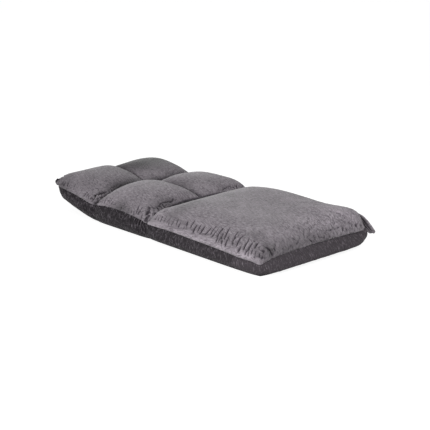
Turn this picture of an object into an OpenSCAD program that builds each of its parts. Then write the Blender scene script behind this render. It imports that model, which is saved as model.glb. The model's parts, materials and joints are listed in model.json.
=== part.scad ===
// Folding floor chair: a padded seat, a tufted back and a tufted head rest on a steel tube
// frame. Four ratchet hinges, two at the hip fold and two at the neck fold, hold its angles.
// It lies open on the floor, front towards -Y, with the head rest a click up from flat.

/* [Overall] */
// Width between the two side seams
body_w = 506; // [420:1:600]
// Seat length, from its front seam to the hip fold
seat_l = 544; // [480:1:640]
// Back length, from the hip fold to the neck fold
back_l = 292; // [270:1:360]
// Head rest length, from the neck fold to its end seam
head_l = 243; // [230:1:320]
// Height of both fold axes and of the frame tubes
pivot_z = 38; // [34:0.5:44]
// Ratchet clicks that the head rest lies up from flat
head_clicks = 1; // [0:1:2]

/* [Seams] */
// Rise of the front seam over the deck, at its corners
front_side_rise = 4; // [2:0.5:12]
// Rise of the front seam over the deck, at its middle
front_mid_rise = 8; // [4:0.5:20]
// Rise of the hip fold's seam over the deck, at the sides
hip_side_rise = 8; // [4:0.5:20]
// Rise of the hip crease over the deck, at the middle
hip_mid_rise = 53; // [40:1:60]
// Rise of the neck fold's seam over the deck, at the sides
neck_side_rise = 16; // [8:0.5:24]
// Rise of the neck crease over the deck, at the middle
neck_mid_rise = 51; // [40:1:60]
// Rise of the head end's seam over the deck, at its corners
end_side_rise = 20; // [10:0.5:30]
// Rise of the head end's seam over the deck, at its middle
end_mid_rise = 36; // [24:0.5:44]
// How far the seat's side seams arch up between their ends
seat_arch = 14; // [6:0.5:20]
// How far the back's side seams arch up between their ends
back_arch = 8; // [2:0.5:14]

/* [Padding] */
// Height of the seat's crown over its seams
seat_crown = 60; // [40:1:70]
// Height of the back tufts' crowns over their seams
back_crown = 50; // [35:1:60]
// Height of the head tufts' crowns over their seams
head_crown = 42; // [30:1:55]
// Thickness of the wadded top covers
cover_t = 6; // [4:0.5:9]
// Thickness of the side bands
band_t = 3; // [2:0.5:5]
// Thickness of the bottom panels
panel_t = 2; // [1.5:0.5:4]
// How far the seat's side bands swell out past their seams
seat_bulge = 20; // [8:1:28]
// How far the front band swells out past its seam
front_bulge = 28; // [10:1:36]
// How far the back's side bands swell out past their seams
back_bulge = 15; // [6:1:24]
// How far the head rest's bands swell out past their seams
head_bulge = 12; // [6:1:20]
// How far the bands tuck in where they meet the floor
bottom_tuck = 10; // [4:1:16]

/* [Frame] */
// Outer diameter of the frame tubes
tube_d = 19; // [18:0.5:22]
// Wall of the frame tubes
tube_wall = 1; // [0.8:0.1:1.4]
// Diameter of the crossbars
bar_d = 16; // [12:0.5:17]
// Distance from a side seam in to the tube's centre
side_inset = 30; // [28:1:40]
// Distance from an end seam in to the tube's centre
end_inset = 40; // [36:1:50]
// Radius of the tube bends
bend_r = 60; // [50:1:66]
// Width of the webbing straps
strap_w = 40; // [30:1:44]
// Thickness of the webbing straps
strap_t = 1.5; // [1:0.1:2.5]

/* [Ratchets] */
// Radius of the tooth tips
tip_r = 21; // [20:0.5:22]
// Clicks of the hip hinges, from flat to past upright
hip_clicks = 12; // [8:1:12]
// Clicks of the neck hinges, from flat to folded in
neck_clicks = 8; // [6:1:10]
// Thickness of the toothed plates and the pawls
tooth_t = 3; // [2.4:0.1:3.4]
// Thickness of the housing's side plates
side_t = 2; // [1.6:0.1:2.2]
// Diameter of the main rivets
rivet_d = 10; // [8:0.5:12]
// Diameter of the pawls' pins
pawl_pin_d = 5; // [4:0.5:6]
// Diameter of the springs' studs
stud_d = 3; // [2.5:0.1:3.5]
// Thickness of the leaf springs
leaf_t = 0.6; // [0.4:0.1:0.8]
// Diameter of the rivets that cross the tubes
tube_rivet_d = 4; // [3:0.2:5]
// Length of the tongues inside the tubes
tongue_l = 45; // [40:1:52]

/* [Zip] */
// Length of the zip across the head end
zip_l = 340; // [240:4:360]
// Width of each half of the zip's tape
tape_w = 11; // [8:0.5:13]
// Thickness of the zip's tape
tape_t = 0.8; // [0.5:0.1:1.2]
// Width of the zip's teeth, over both rows
chain_w = 5; // [4:0.2:6]
// Thickness of the zip's teeth
chain_t = 1.6; // [1.2:0.1:2.2]
// Length of the slider
slider_l = 12; // [9:0.5:14]
// Thickness of the slider's walls
slider_t = 1.2; // [1:0.1:1.6]
// Length of the pull tab
pull_l = 24; // [16:1:32]
// Width of the pull tab
pull_w = 6; // [5:0.2:7]
// Diameter of the pull tab's pin
pull_pin_d = 1.2; // [1:0.1:1.4]

/* [Hidden] */

// Colours
cover_colour = [0.53, 0.51, 0.53];
band_colour = [0.25, 0.24, 0.26];
foam_colour = [0.93, 0.9, 0.78];
tube_colour = [0.16, 0.16, 0.17];
zinc_colour = [0.72, 0.72, 0.7];
strap_colour = [0.2, 0.2, 0.22];

// Clearances
soft_gap = 0.4;
fold_gap = 0.3;
fit_gap = 0.05;
side_gap = 0.2;
overrun = 1;
$fn = 48;

// Ratchet angles in degrees, measured about a hinge
tooth_pitch = 9;
pawl_angle = 40;
pawl_lift = 10;
wedge_slack = 1;
head_tilt = head_clicks * tooth_pitch;
hip_wedge = (180 - hip_clicks * tooth_pitch) / 2 - wedge_slack;
neck_wedge = (180 - neck_clicks * tooth_pitch) / 2 - wedge_slack;

// Ratchet outlines, as shares of the tip radius; [radius, angle] where they follow the teeth
root_share = 0.833;
tooth_shares = [[0.8, 0.25], [1, 0.8], [1, 0.97], [0.8, 1]];
pawl_nose_shares = [[1.024, 0.7], [0.852, 0.9], [0.852, 1.8], [1.01, 6.2], [1.095, 6.2]];
pawl_back_shares = [[1.58, 0.23], [1.42, -0.12], [1.07, 0.43]];
pawl_pin_share = 1.62;
pawl_boss_share = 0.24;
stud_shares = [2, 0.4];
leaf_end_shares = [1, 0.9];
housing_share = 1.34;
arm_shares = [[0.38, 1.27], [2.1, 0.62], [2.1, -0.62], [0.38, -1.27]];
root_r = root_share * tip_r;
housing_r = housing_share * tip_r;
pawl_y = pawl_pin_share * tip_r;
stud_y = stud_shares[0] * tip_r;
stud_z = stud_shares[1] * tip_r;
boss_r = pawl_boss_share * tip_r;

// Frame places worked out from the sizes above
tube_r = tube_d / 2;
bore_r = tube_r - tube_wall;
frame_x = body_w / 2 - side_inset;
stack_t = tooth_t + 2 * side_gap + 2 * side_t;
tongue_h = 2 * sqrt(pow(bore_r - side_gap, 2) - pow(stack_t / 2, 2));
tube_start = 2.5 * tip_r;
hinge_clear = housing_r + overrun;
rivet_in = tongue_l / 4;
rivet_step = tongue_l / 2;
rivet_head_share = 1.75;
head_t = 0.35 * tube_rivet_d;
main_head_r = 0.8 * rivet_d;
main_head_t = 0.2 * rivet_d;
groove_r = tube_r + strap_t + overrun;
deck_z = pivot_z + tube_r + strap_t + 2 * soft_gap;
base_top_z = pivot_z + tube_r - overrun;
seat_run = seat_l - end_inset - bend_r - tube_start;
head_run = head_l - end_inset - bend_r - tube_start;
seat_bar_shares = [0.32, 0.62];
back_bar_shares = [0.36, 0.64];
back_strap_share = 0.5;

// Straps lie on the straight runs, clear of the tongues' rivets and of the bends
strap_gap = 2;
tongue_end = tube_start + tongue_l;
first_strap_y = tongue_end + strap_gap + strap_w / 2;
last_strap_y = tube_start + seat_run - strap_gap - strap_w / 2;
seat_strap_ys = [first_strap_y, (first_strap_y + last_strap_y) / 2, last_strap_y];
head_strap_y = (tongue_end + tube_start + head_run) / 2;

// Powers and shares that shape the cushions
edge_power = 8;
fold_power = 3;
end_power = 6;
end_drop_share = 0.6;
belly_power = 0.8;
tuck_power = 4;
front_draw_share = 0.03;
fold_draw_share = 0.02;
end_pull_share = 0.01;
lean = tan(head_tilt / 2);

// One list for each section of the chair, read with the places below
LEN = 0;
DRAW = 1;
PULL = 2;
LOW_RISE = 3;
HIGH_RISE = 4;
ARCH = 5;
CROWN = 6;
POWERS = 7;
SIDE_BULGE = 8;
END_BULGE = 9;
LEAN = 10;
seat = [seat_l, [front_draw_share, fold_draw_share], [front_draw_share, 0],
    [front_side_rise, front_mid_rise], [hip_side_rise, hip_mid_rise], seat_arch, seat_crown,
    [5, 7, 2.6, 0.5], seat_bulge, [front_bulge, 0], [0, 0]];
back = [back_l, [fold_draw_share, fold_draw_share], [0, 0],
    [hip_side_rise, hip_mid_rise], [neck_side_rise, neck_mid_rise], back_arch, back_crown,
    [2.8, 2.8, 2.8, 0.55], back_bulge, [0, 0], [0, -lean]];
head = [head_l, [fold_draw_share, fold_draw_share], [0, end_pull_share],
    [neck_side_rise, neck_mid_rise], [end_side_rise, end_mid_rise], 0, head_crown,
    [3, 2.8, 4.5, 0.55], head_bulge, [0, head_bulge], [lean, 0]];

// Counts of facets along and across the formed pieces
seat_steps = [22, 22];
tuft_steps = [14, 16];
foam_coarse = 2;
band_levels = 6;
side_steps = 14;
end_steps = 12;
back_steps = 12;

// Zip places, in the head rest's own frame
zip_z = pivot_z;
zip_level_share = 0.5;
zip_y = head_l + swell(head_bulge, 0, zip_level_share) + fold_gap;
chain_y = zip_y + tape_t;
slider_gap = 0.3;
slider_w = chain_w + 2 * (slider_gap + slider_t);
slider_face_y = chain_y + chain_t + slider_gap + slider_t;
lug_h = 2 * pull_pin_d;
pull_y = slider_face_y + lug_h - pull_pin_d;
pull_t = 0.8 * pull_pin_d;
pull_eye_w = pull_w - 2 * slider_t - 2 * slider_gap;
zip_tooth_step = 2.5 * chain_t;
slider_x = -zip_l / 2 + slider_l;

// Corner pleat: a folded ear of the seat cover, in the upright plane through its corner.
// It sits on the crown's own curve, and its free edge is in shares of its reach,
// outwards and up from the seam's corner.
pleat_reach = 36;
pleat_t = 3;
pleat_steps = 6;
pleat_foot_share = 0.84;
pleat_shares = [[0.17, -0.2], [1, -0.3], [0.75, 0.25], [0.3, 1], [-0.4, 1.25]];

// The origin lies under the middle of the chair's box
front_y = -seat_l - front_bulge;
end_y = back_l + (pull_y + pull_pin_d) * cos(head_tilt);
origin_y = -(front_y + end_y) / 2;

function lerp(a, b, t) = a + (b - a) * t;
function apow(x, n) = pow(abs(x), n);
function sgn(x) = x < 0 ? -1 : 1;

// Height of a section's seam surface: u runs -1 to 1 across the chair, v along the section
function fold_rise(u, rise) = lerp(rise[1], rise[0], apow(u, fold_power));
function seam_z(s, u, v) = deck_z + s[ARCH] * (1 - v * v) * u * u
    + lerp(fold_rise(u, s[LOW_RISE]), fold_rise(u, s[HIGH_RISE]), (v + 1) / 2);

// Plan places, with the ends drawn in and each edge inset
function plan_x(s, u, v, inset) = (u * body_w / 2 - sgn(u) * inset)
    * (1 - s[DRAW][v < 0 ? 0 : 1] * apow(v, edge_power));
function plan_y(s, u, v, low, high) = (low + s[LEN] - high) / 2
    + (s[LEN] - high - low) / 2 * v * (1 - s[PULL][v < 0 ? 0 : 1] * apow(u, edge_power));
function lean_y(s, v, z) = (z - pivot_z)
    * (s[LEAN][0] * (1 - v) / 2 + s[LEAN][1] * (1 + v) / 2);

// A crown between the across shares u0 and u1: a runs -1 to 1 between them
function crown(s, a, v) = let (p = s[POWERS], q = v < 0 ? p[1] : p[2])
    pow(max(0, 1 - apow(a, p[0])) * max(0, 1 - apow(v, q)), p[3]);
function crown_point(s, u0, u1, a, v, inset, ends) = let (
    t = (a + 1) / 2,
    u = lerp(u0, u1, t),
    x0 = u0 * body_w / 2 + inset,
    x1 = u1 * body_w / 2 - inset,
    x = lerp(x0, x1, t) * (1 - s[DRAW][v < 0 ? 0 : 1] * apow(v, edge_power)),
    z = seam_z(s, u, v) + (s[CROWN] - inset) * crown(s, a, v))
    [x, plan_y(s, u, v, ends, ends) + lean_y(s, v, z), z];
function crown_grid(s, u0, u1, n, inset, ends) = [for (i = [0:n[0]], j = [0:n[1]])
    crown_point(s, u0, u1, 2 * i / n[0] - 1, 2 * j / n[1] - 1, inset, ends)];
function floor_grid(grid, z) = [for (p = grid) [p[0], p[1], z]];

// A side band: k runs 0 to 1 from the floor to the seam
function belly(k) = sin(180 * pow(k, belly_power));
function swell(bulge, far, k) = bulge * (1 - end_drop_share * apow(far, end_power)) * belly(k)
    - bottom_tuck * pow(1 - k, tuck_power);
function end_inset_of(s, i, inset) = s[END_BULGE][i] > 0 ? inset : fold_gap;
function band_xy(s, u, v, k, inset) = let (i = v < 0 ? 0 : 1)
    [plan_x(s, u, v, inset) + sgn(u) * apow(u, edge_power) * swell(s[SIDE_BULGE], v, k),
    plan_y(s, u, v, end_inset_of(s, 0, inset), end_inset_of(s, 1, inset))
        + (s[END_BULGE][i] > 0 ? sgn(v) * apow(v, edge_power) * swell(s[END_BULGE][i], u, k) : 0)];
function band_point(s, u, v, k, inset) = let (
    z = lerp(panel_t + soft_gap, seam_z(s, u, v) - soft_gap, k),
    p = band_xy(s, u, v, k, inset))
    [p[0], p[1] + lean_y(s, v, z), z];
function band_grid(s, path, inset) = [for (p = path, k = [0:band_levels])
    band_point(s, p[0], p[1], k / band_levels, inset)];

// Paths round a section, as [u, v], each with its outer side to the left
front_path = concat(
    [for (i = [0:side_steps]) [-1, 1 - 2 * i / side_steps]],
    [for (i = [1:end_steps - 1]) [2 * i / end_steps - 1, -1]],
    [for (i = [0:side_steps]) [1, 2 * i / side_steps - 1]]);
head_path = [for (p = front_path) [-p[0], -p[1]]];
left_path = [for (i = [0:back_steps]) [-1, 1 - 2 * i / back_steps]];
closed_path = concat(
    [for (i = [0:side_steps - 1]) [-1, 1 - 2 * i / side_steps]],
    [for (i = [0:end_steps - 1]) [2 * i / end_steps - 1, -1]],
    [for (i = [0:side_steps - 1]) [1, 2 * i / side_steps - 1]],
    [for (i = [0:end_steps - 1]) [1 - 2 * i / end_steps, 1]]);

// A closed skin between two grids of points, the outer one first
function quad(a, b, c, d) = [[a, b, c], [a, c, d]];
function grid_faces(n, m, flip) = [for (i = [0:n - 1], j = [0:m - 1])
    let (a = i * (m + 1) + j, b = a + m + 1, far = (n + 1) * (m + 1))
    each flip ? quad(far + a, far + b, far + b + 1, far + a + 1) : quad(a, a + 1, b + 1, b)];
function rim_loop(n, m) = concat(
    [for (j = [0:m - 1]) j],
    [for (i = [0:n - 1]) i * (m + 1) + m],
    [for (j = [m:-1:1]) n * (m + 1) + j],
    [for (i = [n:-1:1]) i * (m + 1)]);
function rim_faces(loop, far) = [for (i = [0:len(loop) - 1])
    let (a = loop[i], b = loop[(i + 1) % len(loop)]) each quad(b, a, far + a, far + b)];
module skin(outer, inner, n, m) {
    polyhedron(points = concat(outer, inner), faces = concat(grid_faces(n, m, false),
        grid_faces(n, m, true), rim_faces(rim_loop(n, m), (n + 1) * (m + 1))));
}

// A block between two closed loops of the same length, each at one height
module block(low, high) {
    n = len(low);
    polyhedron(points = concat(low, high), faces = concat(
        [[for (i = [0:n - 1]) i]],
        [[for (i = [n - 1:-1:0]) n + i]],
        [for (i = [0:n - 1]) let (j = (i + 1) % n) each quad(i, n + i, n + j, j)]));
}

// Where each section stands in the chair
module in_seat() {
    translate([0, origin_y - seat_l, 0]) children();
}
module in_back() {
    translate([0, origin_y, 0]) children();
}
module in_head() {
    translate([0, origin_y + back_l, pivot_z]) rotate([head_tilt, 0, 0])
        translate([0, 0, -pivot_z]) children();
}
module at_hip(side) {
    in_back() translate([side * frame_x, 0, pivot_z]) children();
}
module at_neck(side) {
    in_back() translate([side * frame_x, back_l, pivot_z]) mirror([0, 1, 0]) children();
}
module at_head(side) {
    in_head() translate([side * frame_x, 0, pivot_z]) mirror([0, 1, 0]) children();
}
module both_sides() {
    children();
    mirror([1, 0, 0]) children();
}

// Soft pieces
module cover(s, u0, u1, n) {
    skin(crown_grid(s, u0, u1, n, 0, fold_gap), crown_grid(s, u0, u1, n, cover_t, cover_t), n[0], n[1]);
}
module side_band(s, path) {
    skin(band_grid(s, path, 0), band_grid(s, path, band_t), len(path) - 1, band_levels);
}
module top_foam(s, u0, u1, steps) {
    n = steps / foam_coarse;
    inset = cover_t + soft_gap;
    top = crown_grid(s, u0, u1, n, inset, inset);
    skin(top, floor_grid(top, deck_z), n[0], n[1]);
}
module base_foam(s) {
    inset = band_t + 2 * soft_gap;
    low_z = panel_t + soft_gap;
    block([for (p = closed_path) concat(band_xy(s, p[0], p[1], 0, inset), [low_z])],
        [for (p = closed_path) concat(
            band_xy(s, p[0], p[1], base_top_z / seam_z(s, p[0], p[1]), inset), [base_top_z])]);
}
module bottom_panel(s) {
    linear_extrude(panel_t) polygon([for (i = [len(closed_path) - 1:-1:0])
        band_xy(s, closed_path[i][0], closed_path[i][1], 0, 0)]);
}
module fold_wedge(angle) {
    h = deck_z + seat_crown + hip_mid_rise;
    w = body_w + 2 * seat_bulge;
    translate([-w / 2, 0, pivot_z]) rotate([90, 0, 90]) linear_extrude(w)
        polygon([[0, 0], [h / tan(angle), h], [-h / tan(angle), h]]);
}
module hinge_pocket() {
    w = stack_t + 2 * main_head_t + 2 * overrun;
    for (side = [-1, 1]) translate([side * frame_x - w / 2, -tube_start - overrun, pivot_z - hinge_clear])
        cube([w, 2 * (tube_start + overrun), deck_z]);
}
module fold_room() {
    translate([-body_w, -hinge_clear, deck_z - overrun]) cube([2 * body_w, 2 * hinge_clear, hinge_clear]);
}

// Tube runs: the child is the tube's section, x outwards and y up
module straight_run(l) {
    rotate([90, 0, 0]) linear_extrude(l) children();
}
module across_run(l) {
    translate([-l / 2, 0, 0]) rotate([90, 0, 90]) linear_extrude(l) children();
}
module bent_run(run) {
    both_sides() {
        translate([-frame_x, 0, 0]) straight_run(run) children();
        translate([bend_r - frame_x, -run, 0]) rotate([0, 0, 180])
            rotate_extrude(angle = 90) translate([bend_r, 0]) children();
    }
    translate([0, -run - bend_r, 0]) across_run(2 * (frame_x - bend_r)) children();
}
module groove_section(r) {
    circle(r);
    translate([-r, 0]) square([2 * r, deck_z]);
}
module bent_tube(run) {
    difference() {
        bent_run(run) circle(tube_r);
        bent_run(run) circle(bore_r);
        for (side = [-1, 1], y = [rivet_in, rivet_in + rivet_step])
            translate([side * frame_x, -y, 0]) rivet_hole();
    }
}
module rivet_hole() {
    rotate([0, 90, 0]) cylinder(d = tube_rivet_d + 2 * fit_gap, h = 2 * tube_d, center = true);
}
module tube_rivet() {
    rotate([0, 90, 0]) {
        cylinder(d = tube_rivet_d, h = tube_d + head_t, center = true);
        for (side = [-1, 1]) translate([0, 0, side * (tube_d + head_t) / 2])
            cylinder(d = rivet_head_share * tube_rivet_d, h = head_t, center = true);
    }
}
module crossbar() {
    difference() {
        across_run(2 * frame_x) circle(d = bar_d);
        across_run(2 * frame_x) circle(d = bar_d - 2 * tube_wall);
        for (side = [-1, 1]) translate([side * frame_x, bar_d, 0]) straight_run(2 * bar_d) circle(tube_r);
    }
}
module strap() {
    loop_r = tube_r + side_gap;
    translate([0, strap_w / 2, 0]) rotate([90, 0, 0]) linear_extrude(strap_w) {
        for (side = [-1, 1]) translate([side * frame_x, 0]) difference() {
            circle(loop_r + strap_t);
            circle(loop_r);
        }
        translate([-frame_x, loop_r]) square([2 * frame_x, strap_t]);
    }
}

// Ratchet pieces, about a hinge at 0 with the housing's arm towards +Y
module plate(t) {
    translate([-t / 2, 0, 0]) rotate([90, 0, 90]) linear_extrude(t) children();
}
module tongue(side) {
    translate([side < 0 ? -tube_start - tongue_l : 0, -tongue_h / 2]) square([tube_start + tongue_l, tongue_h]);
}
module tongue_holes(side) {
    for (y = [rivet_in, rivet_in + rivet_step])
        translate([side * (tube_start + y), 0]) circle(d = tube_rivet_d + 2 * fit_gap);
}
function polar(r, a) = [r * cos(a), r * sin(a)];
module toothed_plate(clicks) {
    plate(tooth_t) difference() {
        union() {
            circle(root_r);
            for (i = [-1:clicks]) polygon([for (p = tooth_shares)
                polar(p[0] * tip_r, pawl_angle + (i + p[1]) * tooth_pitch)]);
            tongue(-1);
        }
        circle(d = rivet_d + 2 * fit_gap);
        tongue_holes(-1);
    }
}
module housing() {
    for (side = [-1, 1]) translate([side * (stack_t - side_t) / 2, 0, 0]) plate(side_t) difference() {
        union() {
            circle(housing_r);
            polygon(tip_r * arm_shares);
            tongue(1);
        }
        circle(d = rivet_d + 2 * fit_gap);
        translate([pawl_y, 0]) circle(d = pawl_pin_d + 2 * fit_gap);
        translate([stud_y, stud_z]) circle(d = stud_d + 2 * fit_gap);
        tongue_holes(1);
    }
}
module headed_pin(d, head_r, cap_t) {
    rotate([0, 90, 0]) {
        cylinder(d = d, h = stack_t + cap_t, center = true);
        for (side = [-1, 1]) translate([0, 0, side * (stack_t + cap_t) / 2])
            cylinder(r = head_r, h = cap_t, center = true);
    }
}
module main_rivet() {
    headed_pin(rivet_d, main_head_r, main_head_t);
}
module pawl_pin_pair() {
    translate([0, pawl_y, 0]) headed_pin(pawl_pin_d, pawl_pin_d / 2 + side_t / 2, side_t / 2);
    translate([0, stud_y, stud_z]) headed_pin(stud_d, stud_d / 2 + side_t / 2, side_t / 2);
}
module pawl() {
    translate([0, pawl_y, 0]) rotate([-pawl_lift, 0, 0]) translate([0, -pawl_y, 0])
        plate(tooth_t) difference() {
            union() {
                polygon(concat(
                    [for (p = pawl_nose_shares) polar(p[0] * tip_r, pawl_angle + p[1])],
                    tip_r * pawl_back_shares));
                translate([pawl_y, 0]) circle(boss_r);
            }
            translate([pawl_y, 0]) circle(d = pawl_pin_d + 2 * fit_gap);
        }
}
module leaf_spring() {
    loop_r = stud_d / 2 + fit_gap;
    plate(tooth_t) difference() {
        union() {
            translate([stud_y, stud_z]) circle(loop_r + leaf_t);
            polygon([[stud_y, stud_z + loop_r], tip_r * leaf_end_shares,
                tip_r * leaf_end_shares + [0, leaf_t], [stud_y, stud_z + loop_r + leaf_t]]);
        }
        translate([stud_y, stud_z]) circle(loop_r);
    }
}

// Seat
module seat_top_cover() {
    color(cover_colour) in_seat() cover(seat, -1, 1, seat_steps);
}
module seat_side_band() {
    color(band_colour) in_seat() side_band(seat, front_path);
}
module seat_bottom_panel() {
    color(band_colour) in_seat() bottom_panel(seat);
}
module seat_base_foam() {
    color(foam_colour) difference() {
        in_seat() base_foam(seat);
        in_back() {
            fold_wedge(hip_wedge);
            hinge_pocket();
            translate([0, overrun - tube_start, pivot_z]) bent_run(seat_run + overrun) groove_section(groove_r);
            for (share = seat_bar_shares) translate([0, -share * seat_l, pivot_z])
                across_run(2 * frame_x) groove_section(bar_d / 2 + overrun);
        }
    }
}
module seat_top_foam() {
    color(foam_colour) difference() {
        in_seat() top_foam(seat, -1, 1, seat_steps);
        in_back() {
            fold_wedge(hip_wedge);
            fold_room();
        }
    }
}
module seat_frame_tube() {
    color(tube_colour) in_back() translate([0, -tube_start, pivot_z]) bent_tube(seat_run);
}
module seat_crossbars() {
    color(tube_colour) in_back() for (share = seat_bar_shares)
        translate([0, -share * seat_l, pivot_z]) crossbar();
}
module seat_webbing() {
    color(strap_colour) in_back() for (y = seat_strap_ys) translate([0, -y, pivot_z]) strap();
}
module seat_tube_rivets() {
    color(zinc_colour) for (side = [-1, 1], y = [rivet_in, rivet_in + rivet_step])
        at_hip(side) translate([0, -tube_start - y, 0]) tube_rivet();
}
function pleat_foot(i) = let (
    t = lerp(pleat_foot_share, 1, i / pleat_steps),
    p = crown_point(seat, -1, 1, t, -t, 0, fold_gap) - crown_point(seat, -1, 1, 1, -1, 0, fold_gap))
    [(p[0] - p[1]) / sqrt(2) + soft_gap, p[2] + soft_gap];
module seat_corner_pleat() {
    color(cover_colour) in_seat() translate(crown_point(seat, -1, 1, 1, -1, 0, fold_gap))
        rotate([90, 0, -45]) translate([0, 0, -pleat_t / 2]) linear_extrude(pleat_t)
        polygon(concat([for (i = [0:pleat_steps]) pleat_foot(i)], pleat_reach * pleat_shares));
}
module hip_toothed_plate_left() {
    color(zinc_colour) at_hip(-1) toothed_plate(hip_clicks);
}
module hip_toothed_plate_right() {
    color(zinc_colour) at_hip(1) toothed_plate(hip_clicks);
}

// Back
module back_top_cover_left() {
    color(cover_colour) in_back() cover(back, -1, 0, tuft_steps);
}
module back_top_cover_right() {
    color(cover_colour) mirror([1, 0, 0]) in_back() cover(back, -1, 0, tuft_steps);
}
module back_side_band_left() {
    color(band_colour) in_back() side_band(back, left_path);
}
module back_side_band_right() {
    color(band_colour) mirror([1, 0, 0]) in_back() side_band(back, left_path);
}
module back_bottom_panel() {
    color(band_colour) in_back() bottom_panel(back);
}
module back_base_foam() {
    color(foam_colour) in_back() difference() {
        base_foam(back);
        for (fold = [[0, hip_wedge], [back_l, neck_wedge]]) translate([0, fold[0], 0]) {
            fold_wedge(fold[1]);
            hinge_pocket();
        }
        for (side = [-1, 1]) translate([side * frame_x, back_l - tube_start + overrun, pivot_z])
            straight_run(back_l - 2 * tube_start + 2 * overrun) groove_section(groove_r);
        for (share = back_bar_shares) translate([0, share * back_l, pivot_z])
            across_run(2 * frame_x) groove_section(bar_d / 2 + overrun);
    }
}
module back_tuft_foam() {
    difference() {
        top_foam(back, -1, 0, tuft_steps);
        for (fold = [[0, hip_wedge], [back_l, neck_wedge]]) translate([0, fold[0], 0]) {
            fold_wedge(fold[1]);
            fold_room();
            hinge_pocket();
        }
    }
}
module back_top_foam_left() {
    color(foam_colour) in_back() back_tuft_foam();
}
module back_top_foam_right() {
    color(foam_colour) mirror([1, 0, 0]) in_back() back_tuft_foam();
}
module back_side_tube(side) {
    l = back_l - 2 * tube_start;
    color(tube_colour) in_back() translate([side * frame_x, back_l - tube_start, pivot_z]) difference() {
        straight_run(l) circle(tube_r);
        straight_run(l) circle(bore_r);
        for (y = [rivet_in, rivet_in + rivet_step], end = [y, l - y]) translate([0, -end, 0]) rivet_hole();
    }
}
module back_side_tube_left() {
    back_side_tube(-1);
}
module back_side_tube_right() {
    back_side_tube(1);
}
module back_crossbars() {
    color(tube_colour) in_back() for (share = back_bar_shares)
        translate([0, share * back_l, pivot_z]) crossbar();
}
module back_webbing() {
    color(strap_colour) in_back() translate([0, back_strap_share * back_l, pivot_z]) strap();
}
module back_tube_rivets() {
    color(zinc_colour) for (side = [-1, 1], y = [rivet_in, rivet_in + rivet_step]) {
        at_hip(side) translate([0, tube_start + y, 0]) tube_rivet();
        at_neck(side) translate([0, tube_start + y, 0]) tube_rivet();
    }
}
module hip_housing_left() {
    color(zinc_colour) at_hip(-1) housing();
}
module hip_housing_right() {
    color(zinc_colour) at_hip(1) housing();
}
module hip_main_rivets() {
    color(zinc_colour) for (side = [-1, 1]) at_hip(side) main_rivet();
}
module hip_pawl_pins() {
    color(zinc_colour) for (side = [-1, 1]) at_hip(side) pawl_pin_pair();
}
module hip_pawl_springs() {
    color(zinc_colour) for (side = [-1, 1]) at_hip(side) leaf_spring();
}
module neck_housing_left() {
    color(zinc_colour) at_neck(-1) housing();
}
module neck_housing_right() {
    color(zinc_colour) at_neck(1) housing();
}
module neck_main_rivets() {
    color(zinc_colour) for (side = [-1, 1]) at_neck(side) main_rivet();
}
module neck_pawl_pins() {
    color(zinc_colour) for (side = [-1, 1]) at_neck(side) pawl_pin_pair();
}
module neck_pawl_springs() {
    color(zinc_colour) for (side = [-1, 1]) at_neck(side) leaf_spring();
}

// Pawls
module hip_pawl_left() {
    color(zinc_colour) at_hip(-1) pawl();
}
module hip_pawl_right() {
    color(zinc_colour) at_hip(1) pawl();
}
module neck_pawl_left() {
    color(zinc_colour) at_neck(-1) pawl();
}
module neck_pawl_right() {
    color(zinc_colour) at_neck(1) pawl();
}

// Head rest
module neck_toothed_plate_left() {
    color(zinc_colour) at_head(-1) toothed_plate(neck_clicks);
}
module neck_toothed_plate_right() {
    color(zinc_colour) at_head(1) toothed_plate(neck_clicks);
}
module head_top_cover_left() {
    color(cover_colour) in_head() cover(head, -1, 0, tuft_steps);
}
module head_top_cover_right() {
    color(cover_colour) mirror([1, 0, 0]) in_head() cover(head, -1, 0, tuft_steps);
}
module head_side_band() {
    color(band_colour) in_head() side_band(head, head_path);
}
module head_bottom_panel() {
    color(band_colour) in_head() bottom_panel(head);
}
module head_base_foam() {
    color(foam_colour) in_head() difference() {
        base_foam(head);
        fold_wedge(neck_wedge);
        hinge_pocket();
        translate([0, tube_start - overrun, pivot_z]) mirror([0, 1, 0])
            bent_run(head_run + overrun) groove_section(groove_r);
    }
}
module head_tuft_foam() {
    difference() {
        top_foam(head, -1, 0, tuft_steps);
        fold_wedge(neck_wedge);
        fold_room();
    }
}
module head_top_foam_left() {
    color(foam_colour) in_head() head_tuft_foam();
}
module head_top_foam_right() {
    color(foam_colour) mirror([1, 0, 0]) in_head() head_tuft_foam();
}
module head_frame_tube() {
    color(tube_colour) in_head() translate([0, tube_start, pivot_z]) mirror([0, 1, 0]) bent_tube(head_run);
}
module head_webbing() {
    color(strap_colour) in_head() translate([0, head_strap_y, pivot_z]) strap();
}
module head_tube_rivets() {
    color(zinc_colour) for (side = [-1, 1], y = [rivet_in, rivet_in + rivet_step])
        at_head(side) translate([0, -tube_start - y, 0]) tube_rivet();
}

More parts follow.
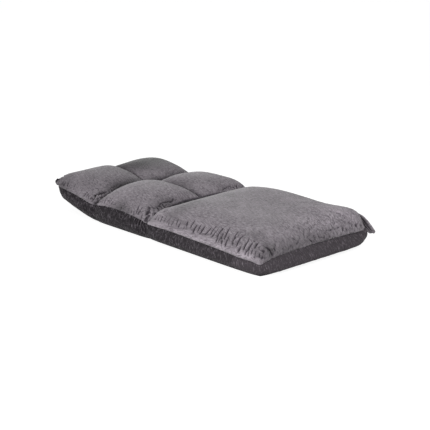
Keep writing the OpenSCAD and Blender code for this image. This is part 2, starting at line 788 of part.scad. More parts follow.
// Zip in the head end's band
module zip_tape() {
    color(band_colour) in_head() for (side = [-1, 1])
        translate([0, zip_y + tape_t / 2, zip_z + side * (tape_w + fit_gap) / 2])
        cube([zip_l, tape_t, tape_w], center = true);
}
module zip_teeth() {
    count = floor(zip_l / zip_tooth_step);
    color(tube_colour) in_head() translate([-count * zip_tooth_step / 2, chain_y, zip_z - chain_w / 2]) {
        cube([count * zip_tooth_step, chain_t / 2, chain_w]);
        for (i = [0:count - 1]) translate([i * zip_tooth_step, 0, 0])
            cube([zip_tooth_step / 2, chain_t, chain_w]);
    }
}
module zip_slider() {
    color(zinc_colour) in_head() translate([slider_x, 0, zip_z]) {
        difference() {
            translate([-slider_l / 2, chain_y + slider_gap, -slider_w / 2])
                cube([slider_l, slider_face_y - chain_y - slider_gap, slider_w]);
            translate([-slider_l, 0, -chain_w / 2 - slider_gap])
                cube([2 * slider_l, slider_face_y - slider_t, chain_w + 2 * slider_gap]);
        }
        for (side = [-1, 1]) difference() {
            translate([-pull_pin_d, slider_face_y, side * (pull_w - slider_t) / 2 - slider_t / 2])
                cube([2 * pull_pin_d, lug_h, slider_t]);
            translate([0, pull_y, 0]) cylinder(d = pull_pin_d + 2 * fit_gap, h = 2 * pull_w, center = true);
        }
    }
}
module zip_pull() {
    color(zinc_colour) in_head() translate([slider_x, pull_y, zip_z]) {
        cylinder(d = pull_pin_d, h = pull_w, center = true);
        translate([0, -pull_t / 2, -pull_eye_w / 2]) cube([2 * pull_pin_d, pull_t, pull_eye_w]);
        difference() {
            translate([2 * pull_pin_d, -pull_t / 2, -pull_w / 2]) cube([pull_l, pull_t, pull_w]);
            translate([pull_l, 0, 0]) rotate([90, 0, 0]) cylinder(d = pull_w / 2, h = pull_w, center = true);
        }
    }
}

seat_top_cover();
seat_side_band();
seat_bottom_panel();
seat_base_foam();
seat_top_foam();
seat_frame_tube();
seat_crossbars();
seat_webbing();
seat_tube_rivets();
seat_corner_pleat();
hip_toothed_plate_left();
hip_toothed_plate_right();
back_top_cover_left();
back_top_cover_right();
back_side_band_left();
back_side_band_right();
back_bottom_panel();
back_base_foam();
back_top_foam_left();
back_top_foam_right();
back_side_tube_left();
back_side_tube_right();
back_crossbars();
back_webbing();
back_tube_rivets();
hip_housing_left();
hip_housing_right();
hip_main_rivets();
hip_pawl_pins();
hip_pawl_springs();
neck_housing_left();
neck_housing_right();
neck_main_rivets();
neck_pawl_pins();
neck_pawl_springs();
hip_pawl_left();
hip_pawl_right();
neck_pawl_left();
neck_pawl_right();
neck_toothed_plate_left();
neck_toothed_plate_right();
head_top_cover_left();
head_top_cover_right();
head_side_band();
head_bottom_panel();
head_base_foam();
head_top_foam_left();
head_top_foam_right();
head_frame_tube();
head_webbing();
head_tube_rivets();
zip_tape();
zip_teeth();
zip_slider();
zip_pull();
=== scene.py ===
import json
import math
import random

import bmesh
import bpy
import numpy as np
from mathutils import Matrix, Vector, noise


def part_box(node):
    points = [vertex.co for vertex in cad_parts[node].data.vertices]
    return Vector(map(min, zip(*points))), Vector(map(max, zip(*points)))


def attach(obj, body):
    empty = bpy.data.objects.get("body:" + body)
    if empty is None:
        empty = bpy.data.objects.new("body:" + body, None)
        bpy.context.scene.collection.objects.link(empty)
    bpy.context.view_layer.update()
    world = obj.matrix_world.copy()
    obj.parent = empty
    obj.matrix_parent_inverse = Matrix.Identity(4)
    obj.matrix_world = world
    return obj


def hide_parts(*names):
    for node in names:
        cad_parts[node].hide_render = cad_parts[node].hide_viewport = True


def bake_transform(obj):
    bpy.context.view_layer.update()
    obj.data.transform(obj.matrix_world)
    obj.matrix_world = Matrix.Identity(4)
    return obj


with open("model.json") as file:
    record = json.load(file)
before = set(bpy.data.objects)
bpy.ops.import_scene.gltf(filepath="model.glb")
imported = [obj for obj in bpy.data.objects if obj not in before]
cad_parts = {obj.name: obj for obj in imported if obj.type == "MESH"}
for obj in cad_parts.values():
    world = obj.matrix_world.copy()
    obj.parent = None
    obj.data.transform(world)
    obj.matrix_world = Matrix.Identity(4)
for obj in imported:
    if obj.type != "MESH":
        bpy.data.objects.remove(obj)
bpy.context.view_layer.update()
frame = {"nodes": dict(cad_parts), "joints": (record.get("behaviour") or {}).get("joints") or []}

# Folding floor chair, open on the floor: a padded seat, two back tufts and two head tufts in
# grey velvet over dark heathered bands. The frame and hinges and the zip's metal come from the CAD.
mm = 0.001
cadNodes = frame["nodes"]
joints = {joint["name"]: joint for joint in frame["joints"]}
hipFold = Vector(joints["hip_fold"]["pos_m"])
neckFold = Vector(joints["neck_fold"]["pos_m"])

chair = {
    "width": 506 * mm,        # between the two side seams
    "deck": 49.8 * mm,        # top of the frame's webbing, which the cushions lie on
    "headTilt": math.radians(9),
    "edgePower": 8,           # how late the sides turn in towards a corner
    "creasePower": 3,         # how late a crease drops towards the sides
    "endPower": 6,
    "bellyPower": 0.8,
    "bandFoot": 2.4 * mm,
    "creaseGap": 0.3 * mm,
    "seamGap": 0.4 * mm,      # from a band's upper edge up to the cushion's seam
    "sharpAngle": math.radians(50),
}
lean = math.tan(chair["headTilt"] / 2)
seat = {
    "length": 544 * mm, "startY": hipFold.y - 544 * mm, "tilt": 0,
    "draw": (0.03, 0.02), "pull": (0.03, 0), "lean": (0, 0),
    "lowRise": (4 * mm, 8 * mm), "highRise": (8 * mm, 53 * mm), "arch": 14 * mm,
    "crown": 60 * mm, "powers": (5, 7, 2.6, 0.5), "sideBulge": 20 * mm, "endBulge": (28 * mm, 0),
    "shoulder": (62 * mm, 0.9), "endDrop": (0.6, 0.6), "tuck": (5 * mm, 10 * mm),
}
back = {
    "length": 292 * mm, "startY": hipFold.y, "tilt": 0,
    "draw": (0.02, 0.02), "pull": (0, 0), "lean": (0, -lean),
    "lowRise": (8 * mm, 53 * mm), "highRise": (16 * mm, 51 * mm), "arch": 13 * mm,
    "crown": 50 * mm, "powers": (2.8, 2.8, 2.8, 0.55), "sideBulge": 15 * mm, "endBulge": (0, 0),
    "shoulder": (30 * mm, 0.6), "endDrop": (0.467, 0.467), "tuck": (10 * mm, 10 * mm),
}
head = {
    "length": 243 * mm, "startY": neckFold.y, "tilt": chair["headTilt"],
    "draw": (0.02, 0.02), "pull": (0, 0.01), "lean": (lean, 0),
    "lowRise": (16 * mm, 51 * mm), "highRise": (20 * mm, 36 * mm), "arch": 0,
    "crown": 42 * mm, "powers": (3, 2.8, 2.6, 0.55), "sideBulge": 12 * mm, "endBulge": (0, 12 * mm),
    "shoulder": (30 * mm, 0), "endDrop": (0.333, 1.25), "tuck": (10 * mm, 26 * mm),
}


def smoothStep(low, high, x):
    t = np.clip((x - low) / (high - low), 0, 1)
    return t * t * (3 - 2 * t)


def seamHeight(section, u, v):
    side = np.abs(u) ** chair["creasePower"]
    low = section["lowRise"][1] + (section["lowRise"][0] - section["lowRise"][1]) * side
    high = section["highRise"][1] + (section["highRise"][0] - section["highRise"][1]) * side
    return chair["deck"] + section["arch"] * (1 - v * v) * u * u + low + (high - low) * (v + 1) / 2


def drawnIn(section, v):
    return 1 - np.where(v < 0, *section["draw"]) * np.abs(v) ** chair["edgePower"]


def alongSection(section, u, v, low, high):
    share = np.where(v < 0, *section["pull"])
    run = (section["length"] - high - low) / 2
    return low + run + run * v * (1 - share * np.abs(u) ** chair["edgePower"])


def standSection(section, v, x, y, z):
    up = z - hipFold.z
    y = y + up * (section["lean"][0] * (1 - v) / 2 + section["lean"][1] * (1 + v) / 2)
    turn, slide = math.cos(section["tilt"]), math.sin(section["tilt"])
    return np.stack((x, section["startY"] + y * turn - up * slide, hipFold.z + y * slide + up * turn), -1)


def coverPlaces(section, span, a, v):
    acrossPower, lowPower, highPower, root = section["powers"]
    endPower = np.where(v < 0, lowPower, highPower)
    rise = np.clip(1 - np.abs(a) ** acrossPower, 0, 1) * np.clip(1 - np.abs(v) ** endPower, 0, 1)
    u = span[0] + (span[1] - span[0]) * (a + 1) / 2
    # The crown climbs slowly from the fold behind it
    fromFold = np.maximum(1 - v, 0) * section["length"] / 2
    reach, hold = section["shoulder"]
    slow = hold * (1 - np.abs(u) ** 4) * np.exp(-(fromFold / reach) ** 1.15)
    x = u * chair["width"] / 2 * drawnIn(section, v)
    z = seamHeight(section, u, v) + section["crown"] * rise ** root * (1 - slow)
    y = alongSection(section, u, v, chair["creaseGap"], chair["creaseGap"])
    return standSection(section, v, x, y, z)


def bandPlaces(section, u, v, k, inset):
    belly = np.sin(math.pi * k ** chair["bellyPower"])
    # The foot tucks under more towards the head's corners, and stays out behind the zip
    nearEnd = smoothStep(-0.6, 1, v) * smoothStep(0.72, 0.95, np.abs(u))
    tuck = section["tuck"][0] + (section["tuck"][1] - section["tuck"][0]) * nearEnd
    foot = tuck * (1 - k) ** (4 - 2 * smoothStep(10 * mm, 26 * mm, tuck))

    def swell(bulge, far):
        drop = np.interp(smoothStep(-0.5, 0.5, v), (0, 1), section["endDrop"])
        return bulge * (1 - drop * np.abs(far) ** chair["endPower"]) * belly - foot

    endBulge = np.where(v < 0, *section["endBulge"])
    # Bands meet where the chair folds
    gaps = [inset if bulge > 0 else 0 for bulge in section["endBulge"]]
    x = (u * chair["width"] / 2 - np.sign(u) * inset) * drawnIn(section, v)
    x = x + np.sign(u) * np.abs(u) ** chair["edgePower"] * swell(section["sideBulge"], v)
    y = alongSection(section, u, v, gaps[0], gaps[1])
    y = y + np.where(endBulge > 0, np.sign(v) * np.abs(v) ** chair["edgePower"] * swell(endBulge, u), 0)
    z = chair["bandFoot"] + (seamHeight(section, u, v) - chair["seamGap"] - chair["bandFoot"]) * k
    return standSection(section, v, x, y, z)


# Mesh helpers, which treat a sheet as rows and columns of points

def evenSpread(power, root, height, halfWidth, count):
    fine = np.sin(np.linspace(-1, 1, 2001) * math.pi / 2)  # close steps where the edge is steep
    z = height * np.clip(1 - np.abs(fine) ** power, 0, 1) ** root
    arc = np.concatenate(([0], np.cumsum(np.hypot(np.diff(fine * halfWidth), np.diff(z)))))
    return np.interp(np.linspace(0, arc[-1], count), arc, fine)


def readPoints(mesh):
    points = np.zeros(len(mesh.vertices) * 3)
    mesh.vertices.foreach_get("co", points)
    return points.reshape(-1, 3)


def writePoints(mesh, points):
    mesh.vertices.foreach_set("co", np.asarray(points, np.float32).ravel())
    mesh.update()


def byVertex(order, values):
    # From rows and columns back to the mesh's own order
    values = np.asarray(values, float)
    spread = np.zeros((order.size, *values.shape[2:]))
    spread[order] = values
    return spread


def readMark(mesh, name):
    values = np.zeros(len(mesh.vertices), np.float32)
    mesh.attributes[name].data.foreach_get("value", values)
    return values


def writeMark(mesh, name, values, kind="FLOAT"):
    mark = mesh.attributes.get(name) or mesh.attributes.new(name, kind, "POINT")
    mark.data.foreach_set("value" if kind == "FLOAT" else "vector", np.asarray(values, np.float32).ravel())


def markSheet(mesh, order, name, values):
    writeMark(mesh, name, byVertex(order, values + np.zeros(order.shape)))


def blurred(points, times):
    out = points.astype(float)
    for _ in range(times):
        padded = np.pad(out, [(1, 1), (1, 1)] + [(0, 0)] * (out.ndim - 2), mode="edge")
        out = (padded[:-2, 1:-1] + padded[2:, 1:-1] + padded[1:-1, :-2] + padded[1:-1, 2:]
               + 2 * padded[1:-1, 1:-1]) / 6
    return out


def sheetNormals(points):
    across, along = np.gradient(points, axis=0), np.gradient(points, axis=1)
    normals = np.cross(across, along)
    return normals / np.maximum(np.linalg.norm(normals, axis=2, keepdims=True), 1e-9)


def runLengths(points, axis):
    steps = np.linalg.norm(np.diff(points, axis=axis), axis=2)
    pad = [(1, 0), (0, 0)] if axis == 0 else [(0, 0), (1, 0)]
    return np.cumsum(np.pad(steps, pad), axis=axis)


def cloudy(points, scale, seed):
    return np.array([noise.noise(Vector(p) * scale + Vector((seed, 0, 0))) for p in points.reshape(-1, 3)]
                    ).reshape(points.shape[:-1])


def linkPiece(name, mesh):
    piece = bpy.data.objects.new(name, mesh)
    bpy.context.scene.collection.objects.link(piece)
    return piece


def flatSheet(name, columns, rows):
    bm = bmesh.new()
    bmesh.ops.create_grid(bm, x_segments=columns, y_segments=rows, size=1)
    mesh = bpy.data.meshes.new(name)
    bm.to_mesh(mesh)
    bm.free()
    points = readPoints(mesh)
    writeMark(mesh, "gridX", points[:, 0])
    writeMark(mesh, "gridY", points[:, 1])
    return linkPiece(name, mesh), gridOrder(mesh)


def gridOrder(mesh):
    x, y = readMark(mesh, "gridX"), readMark(mesh, "gridY")
    columns, rows = len(np.unique(np.round(x, 4))), len(np.unique(np.round(y, 4)))
    i = np.round((x + 1) / 2 * (columns - 1)).astype(int)
    j = np.round((y + 1) / 2 * (rows - 1)).astype(int)
    order = np.zeros((columns, rows), int)
    order[i, j] = np.arange(len(x))
    return order


def applyModifiers(piece):
    shown = piece.evaluated_get(bpy.context.evaluated_depsgraph_get())
    mesh = bpy.data.meshes.new_from_object(shown, preserve_all_data_layers=True,
                                           depsgraph=bpy.context.evaluated_depsgraph_get())
    piece.modifiers.clear()
    piece.data = mesh


def subdivideOnce(piece, boundary="ALL"):
    finer = piece.modifiers.new("Subdivision", "SUBSURF")
    finer.levels = finer.render_levels = 1
    finer.boundary_smooth = boundary
    applyModifiers(piece)


def smoothShade(piece, sharpAngle=None):
    piece.data.shade_smooth()
    if sharpAngle:
        piece.data.set_sharp_from_angle(angle=sharpAngle)


def spot(at, radius, amount, **more):
    # A place on the cloth in mm, how far it reaches, and how much is done there
    return {"at": np.array(at) / 1000, "radius": radius * mm, "amount": amount, **more}


def bellAround(points, place):
    # Each point's distance from a spot, and a weight that fades from 1 over its radius
    offset = (points - place["at"]) * np.array(place.get("stretch", (1, 1, 1)))
    far = np.linalg.norm(offset, axis=2)
    return far, bell(far / place["radius"])


# Cushions: a sheet of velvet is crowned, blown up as cloth, gathered along its seams, then closed

puffing = {
    "frames": 20, "blurSteps": 26, "keptSwell": 0.12, "cap": 24 * mm, "rimCells": 2,
    "settings": {
        "quality": 5, "mass": 0.3, "tension_stiffness": 14, "compression_stiffness": 14,
        "shear_stiffness": 6, "bending_stiffness": 0.35, "vertex_group_mass": "seams",
        "vertex_group_shrink": "fullness", "shrink_min": 0,
        "shrink_max": -0.10,   # extra cloth beside the seams, which turns into puckers
        "use_pressure": True, "uniform_pressure_force": 4.0,
    },
}


def blowUp(piece, order, basePoints, fullness):
    # Held at its rim, under pressure. The wide swell is then taken back and the wrinkles are kept
    seams = piece.vertex_groups.new(name="seams")
    full = piece.vertex_groups.new(name="fullness")
    rim = np.ones(order.shape, bool)
    rim[1:-1, 1:-1] = False
    seams.add(order[rim].tolist(), 1, "REPLACE")
    for index, weight in zip(order.ravel().tolist(), fullness.ravel().tolist()):
        full.add([index], weight, "REPLACE")
    cloth = piece.modifiers.new("Cloth", "CLOTH")
    for name, value in puffing["settings"].items():
        setattr(cloth.settings, name, value)
    cloth.settings.effector_weights.gravity = 0
    cloth.collision_settings.use_collision = False
    cloth.point_cache.frame_start, cloth.point_cache.frame_end = 1, puffing["frames"]
    for number in range(1, puffing["frames"] + 1):
        bpy.context.scene.frame_set(number)
    applyModifiers(piece)
    bpy.context.scene.frame_set(1)
    piece.vertex_groups.clear()
    moved = readPoints(piece.data)[order] - basePoints
    swell = blurred(moved, puffing["blurSteps"])
    moved = moved - swell + swell * puffing["keptSwell"]
    length = np.linalg.norm(moved, axis=2, keepdims=True)
    moved *= np.minimum(1, puffing["cap"] / np.maximum(length, 1e-9))
    fromRim = [np.minimum(np.arange(count), np.arange(count)[::-1]) for count in order.shape]
    hold = np.clip(np.minimum.outer(*fromRim) / puffing["rimCells"], 0, 1)
    return basePoints + moved * hold[..., None]


def edgeRuns(points, edge):
    # How far each point is along a seam and away from it
    axis = 0 if edge in ("left", "right") else 1
    first = edge in ("left", "low")
    run = runLengths(points, axis)
    away = run if first else run.take([-1], axis) - run
    along = runLengths(points, 1 - axis).take([0 if first else -1], axis)
    return along + 0 * away, away


def pushed(points, push):
    # Moves the cloth out along its normals
    return points + push[..., None] * sheetNormals(blurred(points, 3))


def bell(x):
    return np.exp(-x ** 2)


valley = {"rollAt": 1.6, "rollShare": 0.5, "widths": 4, "bend": 4, "bendLength": 12 * mm}


def gather(points, rows):
    # Each row of gathers, given in mm, is a run of small valleys with a roll on either side of each
    base = blurred(points, 3)
    push = np.zeros(points.shape[:2])
    for row in rows:
        along, away = edgeRuns(base, row["edge"])
        dice = random.Random(row["seed"])
        length = along.max()
        place = row["from"] * length
        while place < row["to"] * length:
            share = (place / length - row["from"]) / (row["to"] - row["from"])
            strength = row["grow"][0] + (row["grow"][1] - row["grow"][0]) * share
            width = dice.uniform(*row["width"]) * mm
            reach = dice.uniform(*row["reach"]) * (0.5 + 0.5 * strength) * mm
            depth = dice.uniform(*row["depth"]) * strength * mm
            start = row["start"] * mm + dice.uniform(0, 0.2) * reach
            slant = dice.uniform(*row["slant"])
            bend = dice.uniform(-valley["bend"], valley["bend"]) * mm
            middle = place + slant * away + bend * np.sin(away / valley["bendLength"])
            t = (along - middle) / width
            rolls = bell(t - valley["rollAt"]) + bell(t + valley["rollAt"])
            fade = 1 - smoothStep(start + 0.3 * reach, start + reach, away)
            if row["start"] > 0:
                fade *= smoothStep(start - 3 * mm, start + 0.25 * reach, away)
            shape = valley["rollShare"] * rolls - bell(t)
            push += np.where(np.abs(t) < valley["widths"], depth * shape * fade, 0)
            place += dice.uniform(*row["step"]) * mm
    return pushed(points, push)


def dent(points, spots):
    push = np.zeros(points.shape[:2])
    for place in spots:
        far, weight = bellAround(points, place)
        push += place["amount"] * mm * weight
        if "rings" in place:
            push += place["ringDepth"] * weight * np.cos(2 * math.pi * far / place["rings"])
    return pushed(points, push)


crease = {"sharpness": 6, "fineSharpness": 5, "fineShare": 0.5, "fineScale": 1.9, "fineSeed": 5}


def crumple(points, spots):
    # Thin sharp creases where the lines of a noise pattern cross its middle value
    push = np.zeros(points.shape[:2])
    for place in spots:
        _, weight = bellAround(points, place)
        near = weight > 0.02
        grained = points[near] * np.array(place.get("grain", (1, 1, 1)))
        rough, fine = np.zeros((2, *push.shape))
        rough[near] = cloudy(grained, place["scale"], place["seed"])
        fine[near] = cloudy(grained, place["scale"] * crease["fineScale"], place["seed"] + crease["fineSeed"])
        fold = np.clip(1 - crease["sharpness"] * np.abs(rough), 0, 1)
        fold += crease["fineShare"] * np.clip(1 - crease["fineSharpness"] * np.abs(fine), 0, 1)
        push -= place["amount"] * mm * weight * fold
    return pushed(points, push)


def ironOut(points, spots):
    # Presses out the chance wrinkles that the blown cloth has round a spot
    for place in spots:
        far, _ = bellAround(points, place)
        share = 1 - smoothStep(0.5 * place["radius"], place["radius"], far)
        points = points + share[..., None] * (blurred(points, place["amount"]) - points)
    return points


def foldIn(points, folds):
    # A pinched fold is a sharp valley between two places given in mm, with a soft roll on either side
    push = np.zeros(points.shape[:2])
    for start, end, width, depth in folds:
        start, end = np.array(start) * mm, np.array(end) * mm
        run = end - start
        share = np.clip(((points - start) @ run) / (run @ run), 0, 1)
        away = np.linalg.norm(points - start - share[..., None] * run, axis=2) / (width * mm)
        taper = np.sin(math.pi * (0.15 + 0.7 * share))
        push += depth * mm * taper * (0.45 * bell(away - 1.9) - bell(away))
    return pushed(points, push)


def hemLine(points, edges):
    # A rolled lip beside a seam, with the row of stitches that holds it
    push = np.zeros(points.shape[:2])
    for edge in edges:
        _, away = edgeRuns(points, edge)
        lip = np.sin(math.pi * np.clip(away / hem["width"], 0, 1))
        push += hem["lip"] * lip - hem["depth"] * bell((away - hem["width"]) / hem["groove"])
    return pushed(points, push)


def hangOver(points, edges):
    # The cover's edge rolls out and down over the band below it, by so many mm at each share of the seam
    move = np.zeros(points.shape)
    for edge, roll in edges.items():
        along, away = edgeRuns(points, edge)
        shares, amounts = zip(*roll["amounts"])
        amount = np.interp(along / along.max(), shares, np.array(amounts) * mm) * bell(away / roll["width"])
        move += amount[..., None] * np.array(roll["way"])
    return move


def clothMap(mesh, order, points):
    # The cloth's own flat coordinates in metres, so that the pile follows the surface
    columns, rows = order.shape
    u, v = np.zeros(len(mesh.vertices)), np.zeros(len(mesh.vertices))
    acrossRun, alongRun = runLengths(points, 0), runLengths(points, 1)
    u[order] = acrossRun - acrossRun[columns // 2][None, :]
    v[order] = alongRun
    corner = np.zeros(len(mesh.loops), np.int32)
    mesh.loops.foreach_get("vertex_index", corner)
    layer = mesh.uv_layers.get("cloth") or mesh.uv_layers.new(name="cloth")
    layer.data.foreach_set("uv", np.stack((u[corner], v[corner]), 1).astype(np.float32).ravel())


closing = {
    "seamDrop": 0.2 * mm,      # down from the seam to the seam allowance
    "deckGap": 0.6 * mm,       # clear of the webbing
    "rings": (1, 0.982, 1, 0.8, 0.75, 0.67, 0.5),   # each ring's size next to the one before it
}


def deckHeight(section, y):
    return hipFold.z + (y - section["startY"]) * math.tan(section["tilt"]) \
        + (chair["deck"] - hipFold.z + closing["deckGap"]) / math.cos(section["tilt"])


def layCloth(mesh, order, points):
    writePoints(mesh, byVertex(order, points))
    clothMap(mesh, order, points)


def closeUnderneath(piece, section):
    # A seam allowance, then walls down to the deck, then rings that run in to the middle
    bm = bmesh.new()
    bm.from_mesh(piece.data)
    middle = sum((v.co for v in bm.verts), Vector()) / len(bm.verts)
    hung = bm.verts.layers.float_vector["hung"]
    ring = [edge for edge in bm.edges if edge.is_boundary]
    for step, share in enumerate(closing["rings"]):
        made = bmesh.ops.extrude_edge_only(bm, edges=ring)["geom"]
        ring = [part for part in made if isinstance(part, bmesh.types.BMEdge) and part.is_boundary]
        for vert in [part for part in made if isinstance(part, bmesh.types.BMVert)]:
            if step == 0:
                # Back up behind the overhang, to the seam
                vert.co -= vert[hung] - Vector((0, 0, closing["seamDrop"]))
            vert.co.x = middle.x + (vert.co.x - middle.x) * share
            vert.co.y = middle.y + (vert.co.y - middle.y) * share
            if step > 1:
                vert.co.z = deckHeight(section, vert.co.y)
    bmesh.ops.holes_fill(bm, edges=ring, sides=0)
    bmesh.ops.recalc_face_normals(bm, faces=bm.faces)
    bm.to_mesh(piece.data)
    bm.free()


def cushionGrid(section, span, order):
    # Steps across and along the crown, closer where it is steep
    acrossPower, lowPower, highPower, root = section["powers"]
    halfAcross = (span[1] - span[0]) * chair["width"] / 4
    halfAlong = section["length"] / 2
    across = evenSpread(acrossPower, root, section["crown"], halfAcross, order.shape[0])
    lower = order.shape[1] // 2
    upper = order.shape[1] - lower
    low = evenSpread(lowPower, root, section["crown"], halfAlong, 2 * lower + 1)[:lower]
    high = evenSpread(highPower, root, section["crown"], halfAlong, 2 * upper - 1)[-upper:]
    return np.meshgrid(across, np.concatenate((low, high)), indexing="ij")


def sewCushion(name, section, span, cells, looks):
    piece, order = flatSheet(name, *cells)
    base = coverPlaces(section, span, *cushionGrid(section, span, order))
    base = dent(base, looks["fuller"])
    hung = hangOver(base, looks["overhang"])
    base = base + hung
    writeMark(piece.data, "hung", byVertex(order, hung), "FLOAT_VECTOR")
    writePoints(piece.data, byVertex(order, base))
    fullness = np.zeros(order.shape)
    for edge, amount in looks["fullness"].items():
        _, away = edgeRuns(base, edge)
        near = 1 - smoothStep(0.3 * looks["fullDepth"], looks["fullDepth"], away)
        fullness = np.maximum(fullness, amount * near)
    blown = blowUp(piece, order, base, fullness)
    writePoints(piece.data, byVertex(order, blown))   # by now the piece has a new mesh
    subdivideOnce(piece, "PRESERVE_CORNERS")
    order = gridOrder(piece.data)
    shape = readPoints(piece.data)[order]
    shape = ironOut(shape, looks.get("ironed", ()))
    shape = hemLine(shape, looks.get("hems", ()))
    shape = gather(shape, looks["gathers"])
    shape = dent(shape, looks.get("dents", ()))
    shape = crumple(shape, looks["crumples"])
    shape = foldIn(shape, looks["folds"])
    layCloth(piece.data, order, shape)
    markPaintedFoldShading(piece.data, order, shape, looks["shadedCreases"])
    markPaintedShading(piece.data, order, shape, looks)
    closeUnderneath(piece, section)
    smoothShade(piece)
    return piece


hollowCut = {"nearBlur": 4, "wideBlur": 24, "depth": 3 * mm}


def markPaintedFoldShading(mesh, order, points, shadedCreases=()):
    # Painted shade: 0.5 on plain cloth, more in valleys and down in the creases between two cushions, where
    # the colour is darkened for the shade that falls there
    normals = sheetNormals(points)
    around = (blurred(points, hollowCut["nearBlur"]) + blurred(points, hollowCut["wideBlur"])) / 2
    depth = ((around - points) * normals).sum(2)
    paintedFoldShading = np.clip(0.5 + depth / hollowCut["depth"], 0, 1)
    # Painted shade along each crease, as wide as its given mm
    for edge, width in shadedCreases:
        _, away = edgeRuns(points, edge)
        paintedFoldShading = np.maximum(paintedFoldShading, 0.5 + 0.5 * bell(away / (width * mm)))
    markSheet(mesh, order, "paintedFoldShading", paintedFoldShading)


# The tone is a painted highlight added to the velvet along the rolled lip
hem = {"width": 15 * mm, "groove": 1.8 * mm, "lip": 1.0 * mm, "depth": 0.6 * mm, "tone": 0.42}
darkestPaintedShading = 0.15


def markPaintedShading(mesh, order, points, looks):
    # Painted shading in the velvet's colour: darker where its pile lies the other way and where less light
    # falls, a painted highlight along a rolled hem, and soft spots of painted shade and painted highlight
    first, last = looks["pileAndPaintedShading"]
    _, away = edgeRuns(points, "left")
    pileAndPaintedShading = first + (last - first) * smoothStep(0, 1, away / away.max())
    for edge in looks.get("hems", ()):
        _, away = edgeRuns(points, edge)
        pileAndPaintedShading = pileAndPaintedShading + hem["tone"] * (1 - smoothStep(0.8 * hem["width"], 2 * hem["width"], away))
    # A spot with a negative amount is painted shade, and one with a positive amount is a painted highlight
    for shade in looks["paintedShades"]:
        _, weight = bellAround(points, shade)
        pileAndPaintedShading = np.maximum(pileAndPaintedShading + shade["amount"] * weight, darkestPaintedShading)
    markSheet(mesh, order, "pileAndPaintedShading", pileAndPaintedShading)


def bendCloth(piece, section):
    # Bakes the piece's placement into its mesh, alike for the head's pieces and the others
    if section is head:
        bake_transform(piece)
    else:
        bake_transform(piece)


def gatherRow(edge, run, step, width, depth, reach, start=0, slant=(-0.3, 0.3), grow=(1, 1), seed=1):
    return {"edge": edge, "from": run[0], "to": run[1], "step": step, "width": width, "depth": depth,
            "reach": reach, "start": start, "slant": slant, "grow": grow, "seed": seed}


def numbered(seed, rows):
    # Gives each row of gathers random draws of its own
    for step, row in enumerate(rows):
        row["seed"] = seed + step
    return rows


def seatSideGathers(edge, seed):
    # Dense and deep by the front corner, fading out towards the hip
    return numbered(seed, [
        gatherRow(edge, (0.045, 0.17), (10, 12), (3.8, 5.0), (6.0, 8.0), (48, 80), 4, (0.1, 0.45)),
        gatherRow(edge, (0.17, 0.36), (11, 14), (3.8, 5.0), (5.4, 7.6), (44, 76), 11, (-0.05, 0.35)),
        gatherRow(edge, (0.36, 0.66), (11, 16), (3.8, 5.4), (3.4, 5.4), (40, 66), 18, (-0.2, 0.2), (1, 0.7)),
        gatherRow(edge, (0.66, 0.98), (13, 20), (3.6, 5.2), (2.4, 4.0), (30, 50), 14, (-0.3, 0.2), (1, 0.7)),
    ])


